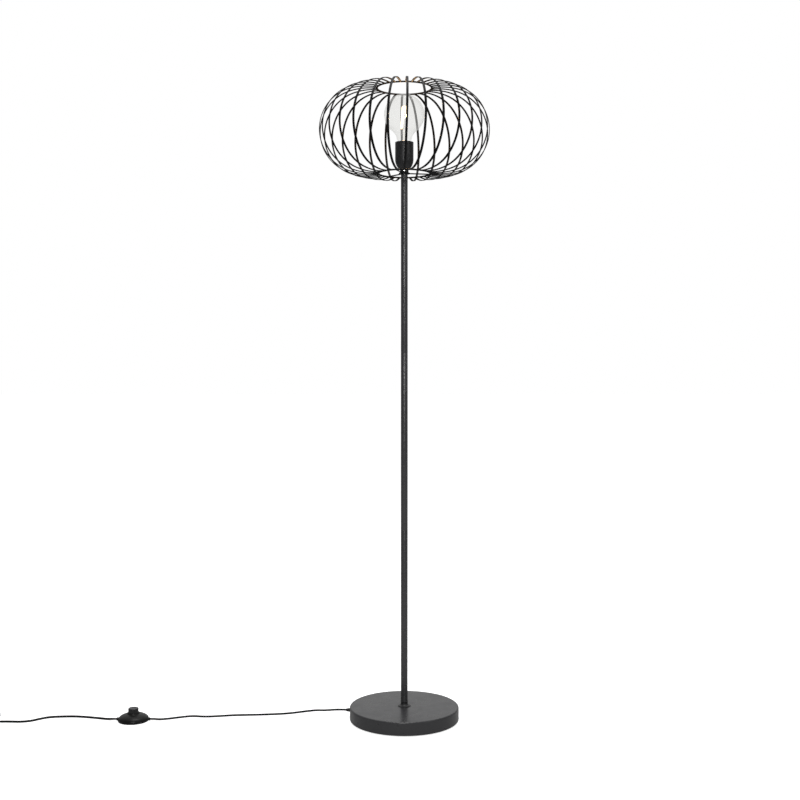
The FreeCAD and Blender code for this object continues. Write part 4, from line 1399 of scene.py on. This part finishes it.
@dataclass
class FootSwitch(SubAssembly):
    """Round foot switch on the lead."""

    rim: float = 36.7 * MM
    rim_foot: float = 1.3 * MM
    rim_bore: float = 32.6 * MM
    # the step under the dome, as (distance inside the rim, height)
    seam: tuple[Point2, ...] = ((0.2 * MM, 3.4 * MM), (0.9 * MM, 3.7 * MM), (0.9 * MM, 4.1 * MM))
    dome_inset: float = 0.9 * MM
    dome_foot: float = 4.4 * MM
    dome_rise: float = 14.5 * MM
    dome_sweep: float = 61.3
    dome_steps: int = 20
    # heights of the dome's underside, at the hole and at the rim
    under: Point2 = (16.0 * MM, 9.0 * MM)
    collar: float = 14.0 * MM
    collar_cove: float = 2.8 * MM
    collar_soft: float = 0.6 * MM
    hole: float = 12.4 * MM
    hole_soft: float = 0.4 * MM
    button_radius: float = 12.0 * MM
    button_bore: float = 8.8 * MM
    button_edge: float = 1.6 * MM
    button_flat: float = 1.0 * MM
    button_dish: float = 1.2 * MM
    button_skin: float = 3.2 * MM
    flange: float = 13.1 * MM
    flange_height: float = 1.8 * MM
    travel: float = 4.0 * MM
    relief_start: float = 30.0 * MM
    relief_neck: float = 0.8 * MM
    reliefs_end: float = 39.8 * MM
    # at the neck, at the tip and at the mouth
    relief_radii: Point3 = (3.7 * MM, 2.95 * MM, 2.5 * MM)
    relief_chamfer: float = 0.5 * MM
    entry_height: float = 4.4 * MM
    ribs: RibRow = RibRow(count=2, centre=3.25 * MM, bar=0.4 * MM, start=1.1 * MM, steps=28)
    rib_pitch: float = 1.2 * MM

    def axis(self) -> Point2:
        """Where the switch's upright axis stands."""
        return tuple(middle_of("switch_button").xy)

    def housing(self) -> bpy.types.Object:
        """Turn the domed housing with the ring round its button.

        Returns:
            The housing.
        """
        low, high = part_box("switch_housing")
        rim, top, hole, ring = self.rim, high.z, self.hole, self.collar
        cove, soft, hole_soft = self.collar_cove, self.collar_soft, self.hole_soft
        outline = Profile(self.rim_bore, low.z).to(rim - self.rim_foot, low.z)
        for inset, height in self.seam:
            outline.to(rim - inset, height)
        for step in range(self.dome_steps + 1):
            angle = math.radians(self.dome_sweep * step / self.dome_steps)
            radius = (rim - self.dome_inset) * math.cos(angle)
            outline.to(radius, self.dome_foot + self.dome_rise * math.sin(angle))
        outline.bend((ring + cove, top - hole_soft), cove, 270, 184, 8)
        outline.bend((ring - soft, top - soft), soft, 0, 90, 4)
        outline.bend((hole + hole_soft, top - hole_soft), hole_soft, 90, 180, 3)
        outline.to(hole, self.under[0]).to(self.rim_bore, self.under[1])
        return outline.turned("switch_dome", steps=160, axis=self.axis(), crease=28.0)

    def spring(self) -> bpy.types.Object:
        """Return spring under the button, made from the CAD spring's mesh.

        Returns:
            The spring.
        """
        coil = bmesh.new()
        coil.from_mesh(self.frame["nodes"]["switch_spring"].data)
        piece = shaded(from_bmesh("switch_return_spring", coil), crease=50.0)
        spring = self.fit(piece, Surface.ZINC, "switch_spring")
        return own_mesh(spring)

    def button(self) -> bpy.types.Object:
        """Turn the push button with its dished top.

        Returns:
            The button.
        """
        low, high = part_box("switch_button")
        radius, edge, dish = self.button_radius, self.button_edge, self.button_dish
        dish_radius = radius - edge - self.button_flat
        ball = (dish_radius**2 + dish**2) / (2 * dish)
        angle = math.degrees(math.asin(dish_radius / ball))
        step, inside = low.z + self.flange_height, high.z - self.button_skin
        outline = Profile(self.button_bore, low.z).to(self.flange, low.z).to(self.flange, step)
        outline.to(radius, step).bend((radius - edge, high.z - edge), edge, 0, 90, 8)
        outline.bend((0.0, high.z - dish + ball), ball, -90 + angle, -90, 10)
        outline.points[-1] = (0.0, outline.points[-1][1])
        outline.to(0.0, inside).to(self.button_bore, inside)
        return outline.turned("switch_push_button", steps=96, axis=self.axis(), crease=30.0)

    def reliefs(self) -> list[bpy.types.Object]:
        """The two tapered guards with their ribs, as (guards, ribs).

        Returns:
            The guards and the ribs.
        """
        inner, outer = self.relief_start, self.reliefs_end
        neck, tip, mouth = self.relief_radii
        outline = Profile(0.0, inner).to(neck, inner).to(neck, self.rim + self.relief_neck)
        outline.to(tip, outer - self.relief_chamfer).to(mouth, outer).to(0.0, outer)
        guard = outline.turned("guard", steps=36)
        ribs = self.ribs.made(self.patterns, "guard_ribs", Surface.SWITCH, self.rib_pitch, self.rim)
        made = []
        x, y = self.axis()
        for piece, name in ((guard, "switch_cord_guards"), (ribs, "switch_cord_guard_ribs")):
            piece.data.transform(Matrix.Rotation(math.pi / 2, 4, "Y"))
            pair = self.patterns.solids.apply(piece, name, Surface.SWITCH, Copies=2, First_angle=0.0)
            pair.data.transform(Matrix.Translation((x, y, self.entry_height)))
            made.append(pair)
        return made

    def build(self) -> list[bpy.types.Object | str]:
        """Make and dress the switch.

        Returns:
            The switch's pieces on the lead.
        """
        dome = self.fit(self.housing(), Surface.SWITCH, "switch_housing")
        guards, ribs = self.reliefs()
        self.fit(guards, Surface.SWITCH, "switch_cord_reliefs")
        self.fit(ribs, Surface.SWITCH)
        self.paint(Surface.SWITCH, "switch_base_plate")
        self.paint(Surface.ZINC, "switch_screws")
        spring = self.spring()
        self.paint(Surface.BRASS, "switch_contacts")
        pressed = SubAssembly(self.frame, self.patterns, "foot_button")
        button = pressed.fit(self.button(), Surface.BUTTON, "switch_button")
        inside = ("switch_base_plate", "switch_screws", "switch_contacts")
        kept = [self.frame["nodes"][name] for name in inside]
        return [dome, guards, ribs, button, spring, *kept]


@dataclass
class Lead(SubAssembly):
    """Flat twin flex: base to switch, and switch to plug with its put-away coil."""

    width: float = 5.4 * MM
    height: float = 4.5 * MM
    floor: float = 2.6 * MM
    exit_radius: float = 140.0 * MM
    exit_azimuth: float = Base.exit_azimuth
    exit_height: float = Base.exit_height
    switch: Point2 = (-641.0 * MM, -6.0 * MM)
    switch_reach: float = 39.5 * MM
    switch_height: float = FootSwitch.entry_height
    coil: Point3 = (-1.0, -23.0 * MM, 3.6 * MM)
    coil_inner: float = 21.0 * MM
    coil_pitch: float = 5.7 * MM
    lower_halves: int = 5
    upper_halves: int = 4
    points_per_half: int = 8
    lie: float = 0.35 * MM
    on_edge: float = 0.02 * MM
    edge_roll: float = 72.0
    layer: float = 1.5 * MM

    def near_route(self) -> list[Point3]:
        """Points from the base to the foot switch.

        Returns:
            The route.
        """
        azimuth = math.radians(self.exit_azimuth)
        floor = self.floor
        start = (self.exit_radius * math.cos(azimuth), self.exit_radius * math.sin(azimuth), self.exit_height)
        end = (self.switch[0] + self.switch_reach, self.switch[1], self.switch_height)
        return [
            start,
            (-0.152, 0.0268, self.exit_height),
            (-0.171, 0.033, 0.0144),
            (-0.191, 0.044, 0.0098),
            (-0.212, 0.0585, 0.0062),
            (-0.234, 0.064, floor),
            (-0.258, 0.0525, floor),
            (-0.286, 0.0423, floor),
            (-0.326, 0.0364, floor),
            (-0.369, 0.0324, floor),
            (-0.411, 0.0305, floor),
            (-0.447, 0.022, floor),
            (-0.478, 0.018, floor),
            (-0.507, 0.025, floor),
            (-0.535, 0.014, floor),
            (-0.560, 0.0025, floor),
            (-0.580, -0.004, 0.003),
            (-0.5915, self.switch[1], self.switch_height),
            end,
        ]

    def far_route(self) -> list[Point3]:
        """Points from the foot switch through the coil to the plug.

        Returns:
            The route.
        """
        floor = self.floor
        x, y, z = self.coil
        start = (self.switch[0] - self.switch_reach, self.switch[1], self.switch_height)
        route = [
            start,
            (-0.690, self.switch[1], self.switch_height),
            (-0.703, -0.0023, 0.003),
            (-0.727, 0.0062, floor),
            (-0.756, 0.0142, floor),
            (-0.788, 0.0203, floor),
            (-0.819, 0.0182, floor),
            (-0.845, 0.0146, floor),
            (-0.863, 0.0018, floor),
            (-0.880, -0.0155, floor),
            (-0.903, -0.0228, floor),
            (-0.933, -0.020, floor),
            (-0.961, -0.022, 0.0029),
            (-0.980, y, z),
        ]
        turns = self.coil_turns()
        last = (x, y + self.coil_pitch, z + self.coil_pitch)
        tail = [
            (x - 0.0182, last[1], last[2]),
            (x - 0.0322, last[1] - 0.0032, last[2] - 0.0012),
            (x - 0.044, last[1] - 0.006, 0.00685),
            (x - 0.056, last[1] - 0.006, 0.00685),
        ]
        return route + turns + tail

    def coil_turns(self) -> list[Point3]:
        """Points of the coil's half turns: in along the lower layer, up, and out along the upper one.

        Returns:
            The points, in order along the lead.
        """
        step = self.coil_pitch / 2
        halves = [(self.coil_inner + step * k, 0.0) for k in range(self.lower_halves, 0, -1)]
        halves.append((self.coil_inner, self.coil_pitch))
        halves += [(self.coil_inner + step * k, 0.0) for k in range(1, self.upper_halves + 1)]
        x, y, z = self.coil
        heading = -1
        points = []
        swell = 1 / math.cos(math.pi / (2 * self.points_per_half))
        for radius, climb in halves:
            centre = y - heading * radius
            reach = heading * radius * swell
            for k in range(self.points_per_half):
                share = (k + 0.5) / self.points_per_half
                across, along = reach * math.sin(math.pi * share), reach * math.cos(math.pi * share)
                points.append((x + across, centre + along, z + climb * share))
            y -= heading * 2 * radius
            z += climb
            heading = -heading
        return points

    def smooth(self, route: Sequence[Point3], name: str) -> list[Vector]:
        """Read the smooth line that has the route's points as its control points.

        Args:
            route: The control points.
            name: Name of the curve while it lasts.

        Returns:
            Points along the line.
        """
        curve = bpy.data.curves.new(name, "CURVE")
        curve.dimensions = "3D"
        curve.resolution_u = 8
        spline = curve.splines.new("NURBS")
        spline.points.add(len(route) - 1)
        for point, place in zip(spline.points, route):
            point.co = (*place, 1.0)
        spline.order_u = 3
        spline.use_endpoint_u = True
        line = plain_mesh(linked(name, curve))
        points = [vertex.co.copy() for vertex in line.vertices]
        bpy.data.meshes.remove(line)
        return points

    def section(self) -> list[Point2]:
        """Outline of the twin flex: two round cores side by side, with a groove between them.

        Returns:
            Points as (across, up).
        """
        core = self.height / 2
        shift = self.width / 2 - core
        meet = math.degrees(math.acos(-shift / core))
        right = arc_points((shift, 0.0), core, -meet, meet, 9)
        left = [(-across, -up) for across, up in right]
        return right[:-1] + left[:-1]

    def flex(
        self, name: str, line: Sequence[Vector], lay: Sequence[Point2], roll: Sequence[Point2]
    ) -> tuple[bpy.types.Object, list[Vector]]:
        """Sweep the flex along a line.

        Args:
            name: The piece's name.
            line: The route's smooth line.
            lay: How far the flex lies under the line, as (share of its length, drop) pairs.
            roll: How far it is rolled off its flat side, as (share of its length, degrees) pairs.

        Returns:
            The flex and the points that it follows.
        """
        lengths = [0.0]
        for before, here in zip(line, line[1:]):
            lengths.append(lengths[-1] + (here - before).length)
        shares = [along / lengths[-1] for along in lengths]
        centres = [point - Vector((0, 0, self.eased(share, lay))) for point, share in zip(line, shares)]
        across = []
        for k, share in enumerate(shares):
            ahead = (centres[min(k + 1, len(centres) - 1)] - centres[max(k - 1, 0)]).normalized()
            flat = ahead.cross(Vector((0, 0, 1))).normalized()
            across.append(Matrix.Rotation(math.radians(self.eased(share, roll)), 3, ahead) @ flat)
        return swept(name, centres, self.section(), across, crease=50.0), centres

    def eased(self, share: float, steps: Sequence[Point2]) -> float:
        """Read a value that eases from step to step.

        Args:
            share: Share of the length.
            steps: The (share, value) pairs.

        Returns:
            The value there.
        """
        for (before, low), (after, high) in zip(steps, steps[1:]):
            if share <= after:
                part = (share - before) / (after - before)
                return low + (high - low) * part * part * (3 - 2 * part)
        return steps[-1][1]

    def length(self, points: Sequence[Vector]) -> float:
        """Length of a line of points."""
        return sum((b - a).length for a, b in zip(points, points[1:]))

    def build(self, on_near: list, plug: list) -> None:
        """Make and dress both stretches.

        Args:
            on_near: The switch's pieces; not used.
            plug: The plug's pieces and the coil's band; not used.
        """
        lie, on_edge, layer, roll = self.lie, self.on_edge, self.layer, self.edge_roll
        near_lay = [(0.0, 0.0), (0.10, 0.0), (0.20, lie), (0.94, lie), (0.99, 0.0), (1.0, 0.0)]
        near_roll = [(0.0, 0.0), (1.0, 0.0)]
        near_line = self.smooth(self.near_route(), "near")
        near, near_path = self.flex("lead_base_to_switch", near_line, near_lay, near_roll)
        far_lay = [
            (0.0, 0.0), (0.007, 0.0), (0.02, on_edge), (0.215, on_edge), (0.25, lie),
            (0.62, lie), (0.68, layer), (0.957, layer), (0.985, 0.0), (1.0, 0.0),
        ]
        far_roll = [(0.0, 0.0), (0.012, roll), (0.215, roll), (0.25, 0.0), (1.0, 0.0)]
        far_line = self.smooth(self.far_route(), "far")
        far, far_path = self.flex("lead_switch_to_plug", far_line, far_lay, far_roll)
        self.fit(near, Surface.FLEX, "cord_base_to_switch")
        self.fit(far, Surface.FLEX, "cord_switch_to_coil", "cord_coil", "cord_coil_to_plug")
        LOG.info("lead: %.3f m and %.3f m", self.length(near_path), self.length(far_path))


@dataclass
class Plug(SubAssembly):
    """Flat two-pin plug and the band round the coil."""

    bevel: float = 2.6 * MM
    neck_half: float = 8.0 * MM
    # distance from the rear, and half the width there
    waist: Point2 = (9.0 * MM, 9.5 * MM)
    # distance from the rear, and how much narrower than the widest place
    swell: Point2 = (20.0 * MM, 1.5 * MM)
    # distance from the widest place to the front, and how much each side narrows on it
    nose: Point2 = (8.0 * MM, 3.0 * MM)
    grips: int = 5
    grip_run: float = 8.0 * MM
    grip_bar: float = 0.7 * MM
    grip_pitch: float = 2.6 * MM
    grip_sunk: float = 1.0 * MM
    relief: float = 22.0 * MM
    relief_overlap: float = 2.0 * MM
    # at the mouth, at the tip and at the root
    relief_radii: Point3 = (2.9 * MM, 3.3 * MM, 5.0 * MM)
    relief_chamfer: float = 0.5 * MM
    ribs: RibRow = RibRow(count=5, centre=3.7 * MM, bar=0.55 * MM, start=3.0 * MM, growth=0.07)
    rib_pitch: float = 3.6 * MM
    pin_tip: float = 1.2 * MM
    band_thick: float = 0.8 * MM
    band_corner: float = 2.4 * MM

    def shell(self) -> bpy.types.Object:
        """Build the plug's body: flat, wider towards the pins, with soft edges.

        Returns:
            The body.
        """
        low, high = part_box("plug_body")
        middle, half = middle_of("plug_body").y, (high.y - low.y) / 2
        front, rear = low.x, high.x - self.relief
        outline = [
            (rear, self.neck_half), (rear - self.waist[0], self.waist[1]),
            (rear - self.swell[0], half - self.swell[1]), (front + self.nose[0], half),
            (front, half - self.nose[1]),
        ]
        corners = outline + [(x, -y) for x, y in reversed(outline)]
        shell = bmesh.new()
        floor, roof = ([shell.verts.new((x, middle + y, z)) for x, y in corners] for z in (low.z, high.z))
        shell.faces.new(floor)
        shell.faces.new(roof)
        stitch(shell, [floor, roof], closed=False)
        body = from_bmesh("plug_shell_source", shell)
        soften = body.modifiers.new("soft", "BEVEL")
        soften.width = self.bevel
        soften.segments = 4
        soften.limit_method = "ANGLE"
        soften.angle_limit = math.radians(15)
        return shaded(linked("plug_shell", plain_mesh(body)), crease=30.0)

    def guard(self) -> list[bpy.types.Object]:
        """The tapered relief behind the plug, and its ribs.

        Returns:
            The relief and the ribs.
        """
        length = self.relief + self.relief_overlap
        mouth, tip, root = self.relief_radii
        outline = Profile(0.0, 0.0).to(mouth, 0.0).to(tip, self.relief_chamfer)
        taper = outline.to(root, length).to(0.0, length).turned("plug_relief", steps=40)
        ribs = self.ribs.made(self.patterns, "plug_relief_ribs", Surface.PLUG, self.rib_pitch)
        for vertex in ribs.data.vertices:
            vertex.co.z = min(vertex.co.z, length)
        rear = (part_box("plug_body")[1].x, *middle_of("plug_body").yz)
        place = Matrix.Translation(rear) @ Matrix.Rotation(-math.pi / 2, 4, "Y")
        for piece in (taper, ribs):
            piece.data.transform(place)
        return [taper, ribs]

    def grip(self) -> bpy.types.Object:
        """Raised finger ridges on both sides of the plug.

        Returns:
            The ridges.
        """
        low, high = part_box("plug_body")
        middle = middle_of("plug_body") - Vector((self.relief / 2, 0.0, 0.0))
        reach, run = (high.y - low.y) / 2 - self.grip_sunk, self.grip_run
        line = polyline("ridge", [Vector((0, 0, -run / 2)), Vector((0, 0, run / 2))])
        ridge = self.patterns.bars.apply(
            line, "ridge", Surface.PLUG, Bar_radius=self.grip_bar, Bar_sides=10, Copies=1, First_angle=0.0
        )
        ridge.data.transform(Matrix.Translation((0, reach, 0)))
        step = (self.grip_pitch, 0.0, 0.0)
        row = self.patterns.ribs.apply(
            ridge, "ridges", Surface.PLUG, Copies=self.grips, Step=step, Shrink=0.0
        )
        row.data.transform(Matrix.Translation((-self.grip_pitch * (self.grips - 1) / 2, 0, 0)))
        both = self.patterns.solids.apply(row, "plug_grip", Surface.PLUG, Copies=2, First_angle=0.0)
        both.data.transform(Matrix.Translation(middle))
        return both

    def pins(self) -> bpy.types.Object:
        """Two round pins with rounded tips.

        Returns:
            The pins.
        """
        low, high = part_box("plug_pins")
        radius = (high.z - low.z) / 2
        spacing = high.y - low.y - 2 * radius
        length = high.x - low.x
        tip = self.pin_tip
        outline = Profile(0.0, 0.0).to(radius, 0.0)
        outline.bend((radius - tip, length - tip), tip, 0, 85, 6).to(0.0, length)
        pin = outline.turned("pin", steps=28)
        pin.data.transform(Matrix.Translation((0, spacing / 2, 0)) @ Matrix.Rotation(-math.pi / 2, 4, "Y"))
        row = self.patterns.ribs.apply(
            pin, "plug_contact_pins", Surface.NICKEL, Copies=2, Step=(0.0, -spacing, 0.0), Shrink=0.0
        )
        row.data.transform(Matrix.Translation((high.x, *middle_of("plug_pins").yz)))
        return row

    def band(self) -> bpy.types.Object:
        """Flat band round the coil, with soft corners.

        Returns:
            The band.
        """
        low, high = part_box("cord_tie")
        radius = self.band_corner
        left, right, foot, head = low.x + radius, high.x - radius, low.z + radius, high.z - radius
        ring = []
        for x, z, start in ((right, head, 0), (left, head, 90), (left, foot, 180), (right, foot, 270)):
            ring += arc_points((x, z), radius, start, start + 90, 6)
        middle = Vector(middle_of("cord_tie").xz)
        shell = bmesh.new()
        rows = []
        for x, z in ring:
            inner = Vector((x, z)) + (middle - Vector((x, z))).normalized() * self.band_thick
            spots = ((x, low.y, z), (x, high.y, z), (inner.x, high.y, inner.y), (inner.x, low.y, inner.y))
            rows.append([shell.verts.new(spot) for spot in spots])
        stitch(shell, rows)
        return shaded(from_bmesh("coil_band", shell), crease=40.0)

    def build(self) -> list[bpy.types.Object]:
        """Make and dress the plug and the band.

        Returns:
            The pieces on the lead.
        """
        taper, ribs = self.guard()
        return [
            self.fit(self.shell(), Surface.PLUG, "plug_body"),
            self.fit(taper, Surface.PLUG),
            self.fit(ribs, Surface.PLUG),
            self.fit(self.grip(), Surface.PLUG),
            self.fit(self.pins(), Surface.NICKEL, "plug_pins"),
            self.fit(self.band(), Surface.TIE, "cord_tie"),
        ]


# ---- studio ---------------------------------------------------------------------------------------------
@dataclass(frozen=True)
class SoftBox:
    """A rectangular soft light that hangs at one place and faces another."""

    name: str
    place: Point3
    target: Point3
    size: Point2
    power: float

    def hang(self) -> None:
        """Put the light in the scene."""
        data = bpy.data.lights.new(self.name, "AREA")
        data.shape = "RECTANGLE"
        data.size, data.size_y = self.size
        data.energy = self.power
        light = linked(self.name, data)
        light.location = self.place
        light.rotation_euler = (Vector(self.place) - Vector(self.target)).to_track_quat("Z", "Y").to_euler()


@dataclass
class Studio:
    """Floor, white surround, lights and the camera."""

    camera_place: Point3 = (-0.0101, -2.7137, 0.8418)
    camera_pitch: float = 88.258
    lens: float = 51.94
    sensor: float = 36.0
    floor_half: float = 30.0
    floor_white: float = 0.9
    floor_glow: float = 0.72
    floor_bounce: float = 0.5
    surround: float = 1.0
    ambient: float = 0.35
    room: Point2 = (0.08, 0.95)
    room_from: float = 0.35
    bright_side: Point3 = (0.0, 0.6, 0.8)
    bulb_power: float = 2.0
    bulb_colour: Colour = (1.0, 0.62, 0.3)
    bulb_size: float = 12 * MM
    bulb_height: float = 1.42
    soft_boxes: tuple[SoftBox, ...] = (
        SoftBox("front", (-0.1, -2.95, 1.6), (0.0, 0.0, 1.0), (0.3, 1.5), 34.0),
        SoftBox("side", (2.2, -1.6, 1.8), (0.0, 0.0, 0.8), (0.8, 1.6), 8.0),
        SoftBox("overhead", (0.0, -0.1, 3.2), (0.0, 0.0, 0.0), (1.8, 1.8), 50.0),
    )

    def camera(self) -> None:
        """Stand the camera where the photograph was taken from."""
        data = bpy.data.cameras.new("camera")
        data.lens = self.lens
        data.sensor_width = self.sensor
        camera = linked("camera", data)
        camera.location = self.camera_place
        camera.rotation_euler = (math.radians(self.camera_pitch), 0.0, 0.0)
        bpy.context.scene.camera = camera

    def world(self) -> None:
        """White surround for the eye, soft light, and a mirrored room that is bright above and behind."""
        world = bpy.data.worlds.new("surround")
        bpy.context.scene.world = world
        world.use_nodes = True
        sheet = Wiring(world.node_tree)
        way = sheet.node("ShaderNodeTexCoord", "Generated")
        setup = {"operation": "DOT_PRODUCT"}
        towards = sheet.node("ShaderNodeVectorMath", "Value", setup, n0=way, n1=self.bright_side)
        brightness = sheet.mapped(towards, (self.room_from, 1.0), self.room)
        soft, room, white = (
            sheet.node("ShaderNodeBackground", Color=WHITE, Strength=strength)
            for strength in (self.ambient, brightness, self.surround)
        )
        mirrored = sheet.mixed(sheet.seen_by("Is Glossy Ray"), soft, room)
        seen = sheet.seen_by("Is Camera Ray", "Is Transmission Ray")
        sheet.close("ShaderNodeOutputWorld", sheet.mixed(seen, mirrored, white))

    def floor(self) -> None:
        """A wide white floor that keeps a faint shadow."""
        half = self.floor_half
        mesh = bpy.data.meshes.new("floor")
        corners = [(-half, -half, 0), (half, -half, 0), (half, half, 0), (-half, half, 0)]
        mesh.from_pydata(corners, [], [(0, 1, 2, 3)])
        sheet = ShaderSheet("floor_white")
        matt, plain = (
            sheet.node("ShaderNodeBsdfDiffuse", Color=(grey, grey, grey, 1.0))
            for grey in (self.floor_white, self.floor_bounce)
        )
        glow = sheet.node("ShaderNodeEmission", Color=WHITE, Strength=self.floor_glow)
        both = sheet.node("ShaderNodeAddShader", n0=matt, n1=glow)
        seen = sheet.seen_by("Is Camera Ray", "Is Transmission Ray")
        mesh.materials.append(sheet.finished(sheet.mixed(seen, plain, both)))
        linked("floor", mesh)

    def bulb_light(self) -> None:
        """Warm light of the lit bulb on the cage round it."""
        data = bpy.data.lights.new("bulb_light", "POINT")
        data.energy = self.bulb_power
        data.color = self.bulb_colour
        data.shadow_soft_size = self.bulb_size
        light = linked("bulb_light", data)
        light.location = (0.0, 0.0, self.bulb_height)
        light.visible_camera = False

    def build(self) -> None:
        """Set up the whole studio."""
        self.world()
        self.floor()
        for soft_box in self.soft_boxes:
            soft_box.hang()
        self.bulb_light()
        self.camera()


def main() -> None:
    """Build the scene round the frame."""
    logging.basicConfig(level=logging.INFO, format="%(name)s %(message)s")
    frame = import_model()
    bpy.context.scene.view_settings.view_transform = "Standard"
    Studio().build()
    shared = (frame, Patterns())
    on_switch = FootSwitch(*shared).build()
    on_plug = Plug(*shared).build()
    Lead(*shared).build(on_switch, on_plug)
    for part in (Base, Pole, Cage, Holder, Bulb):
        part(*shared).build()


if __name__ == "__main__":
    main()
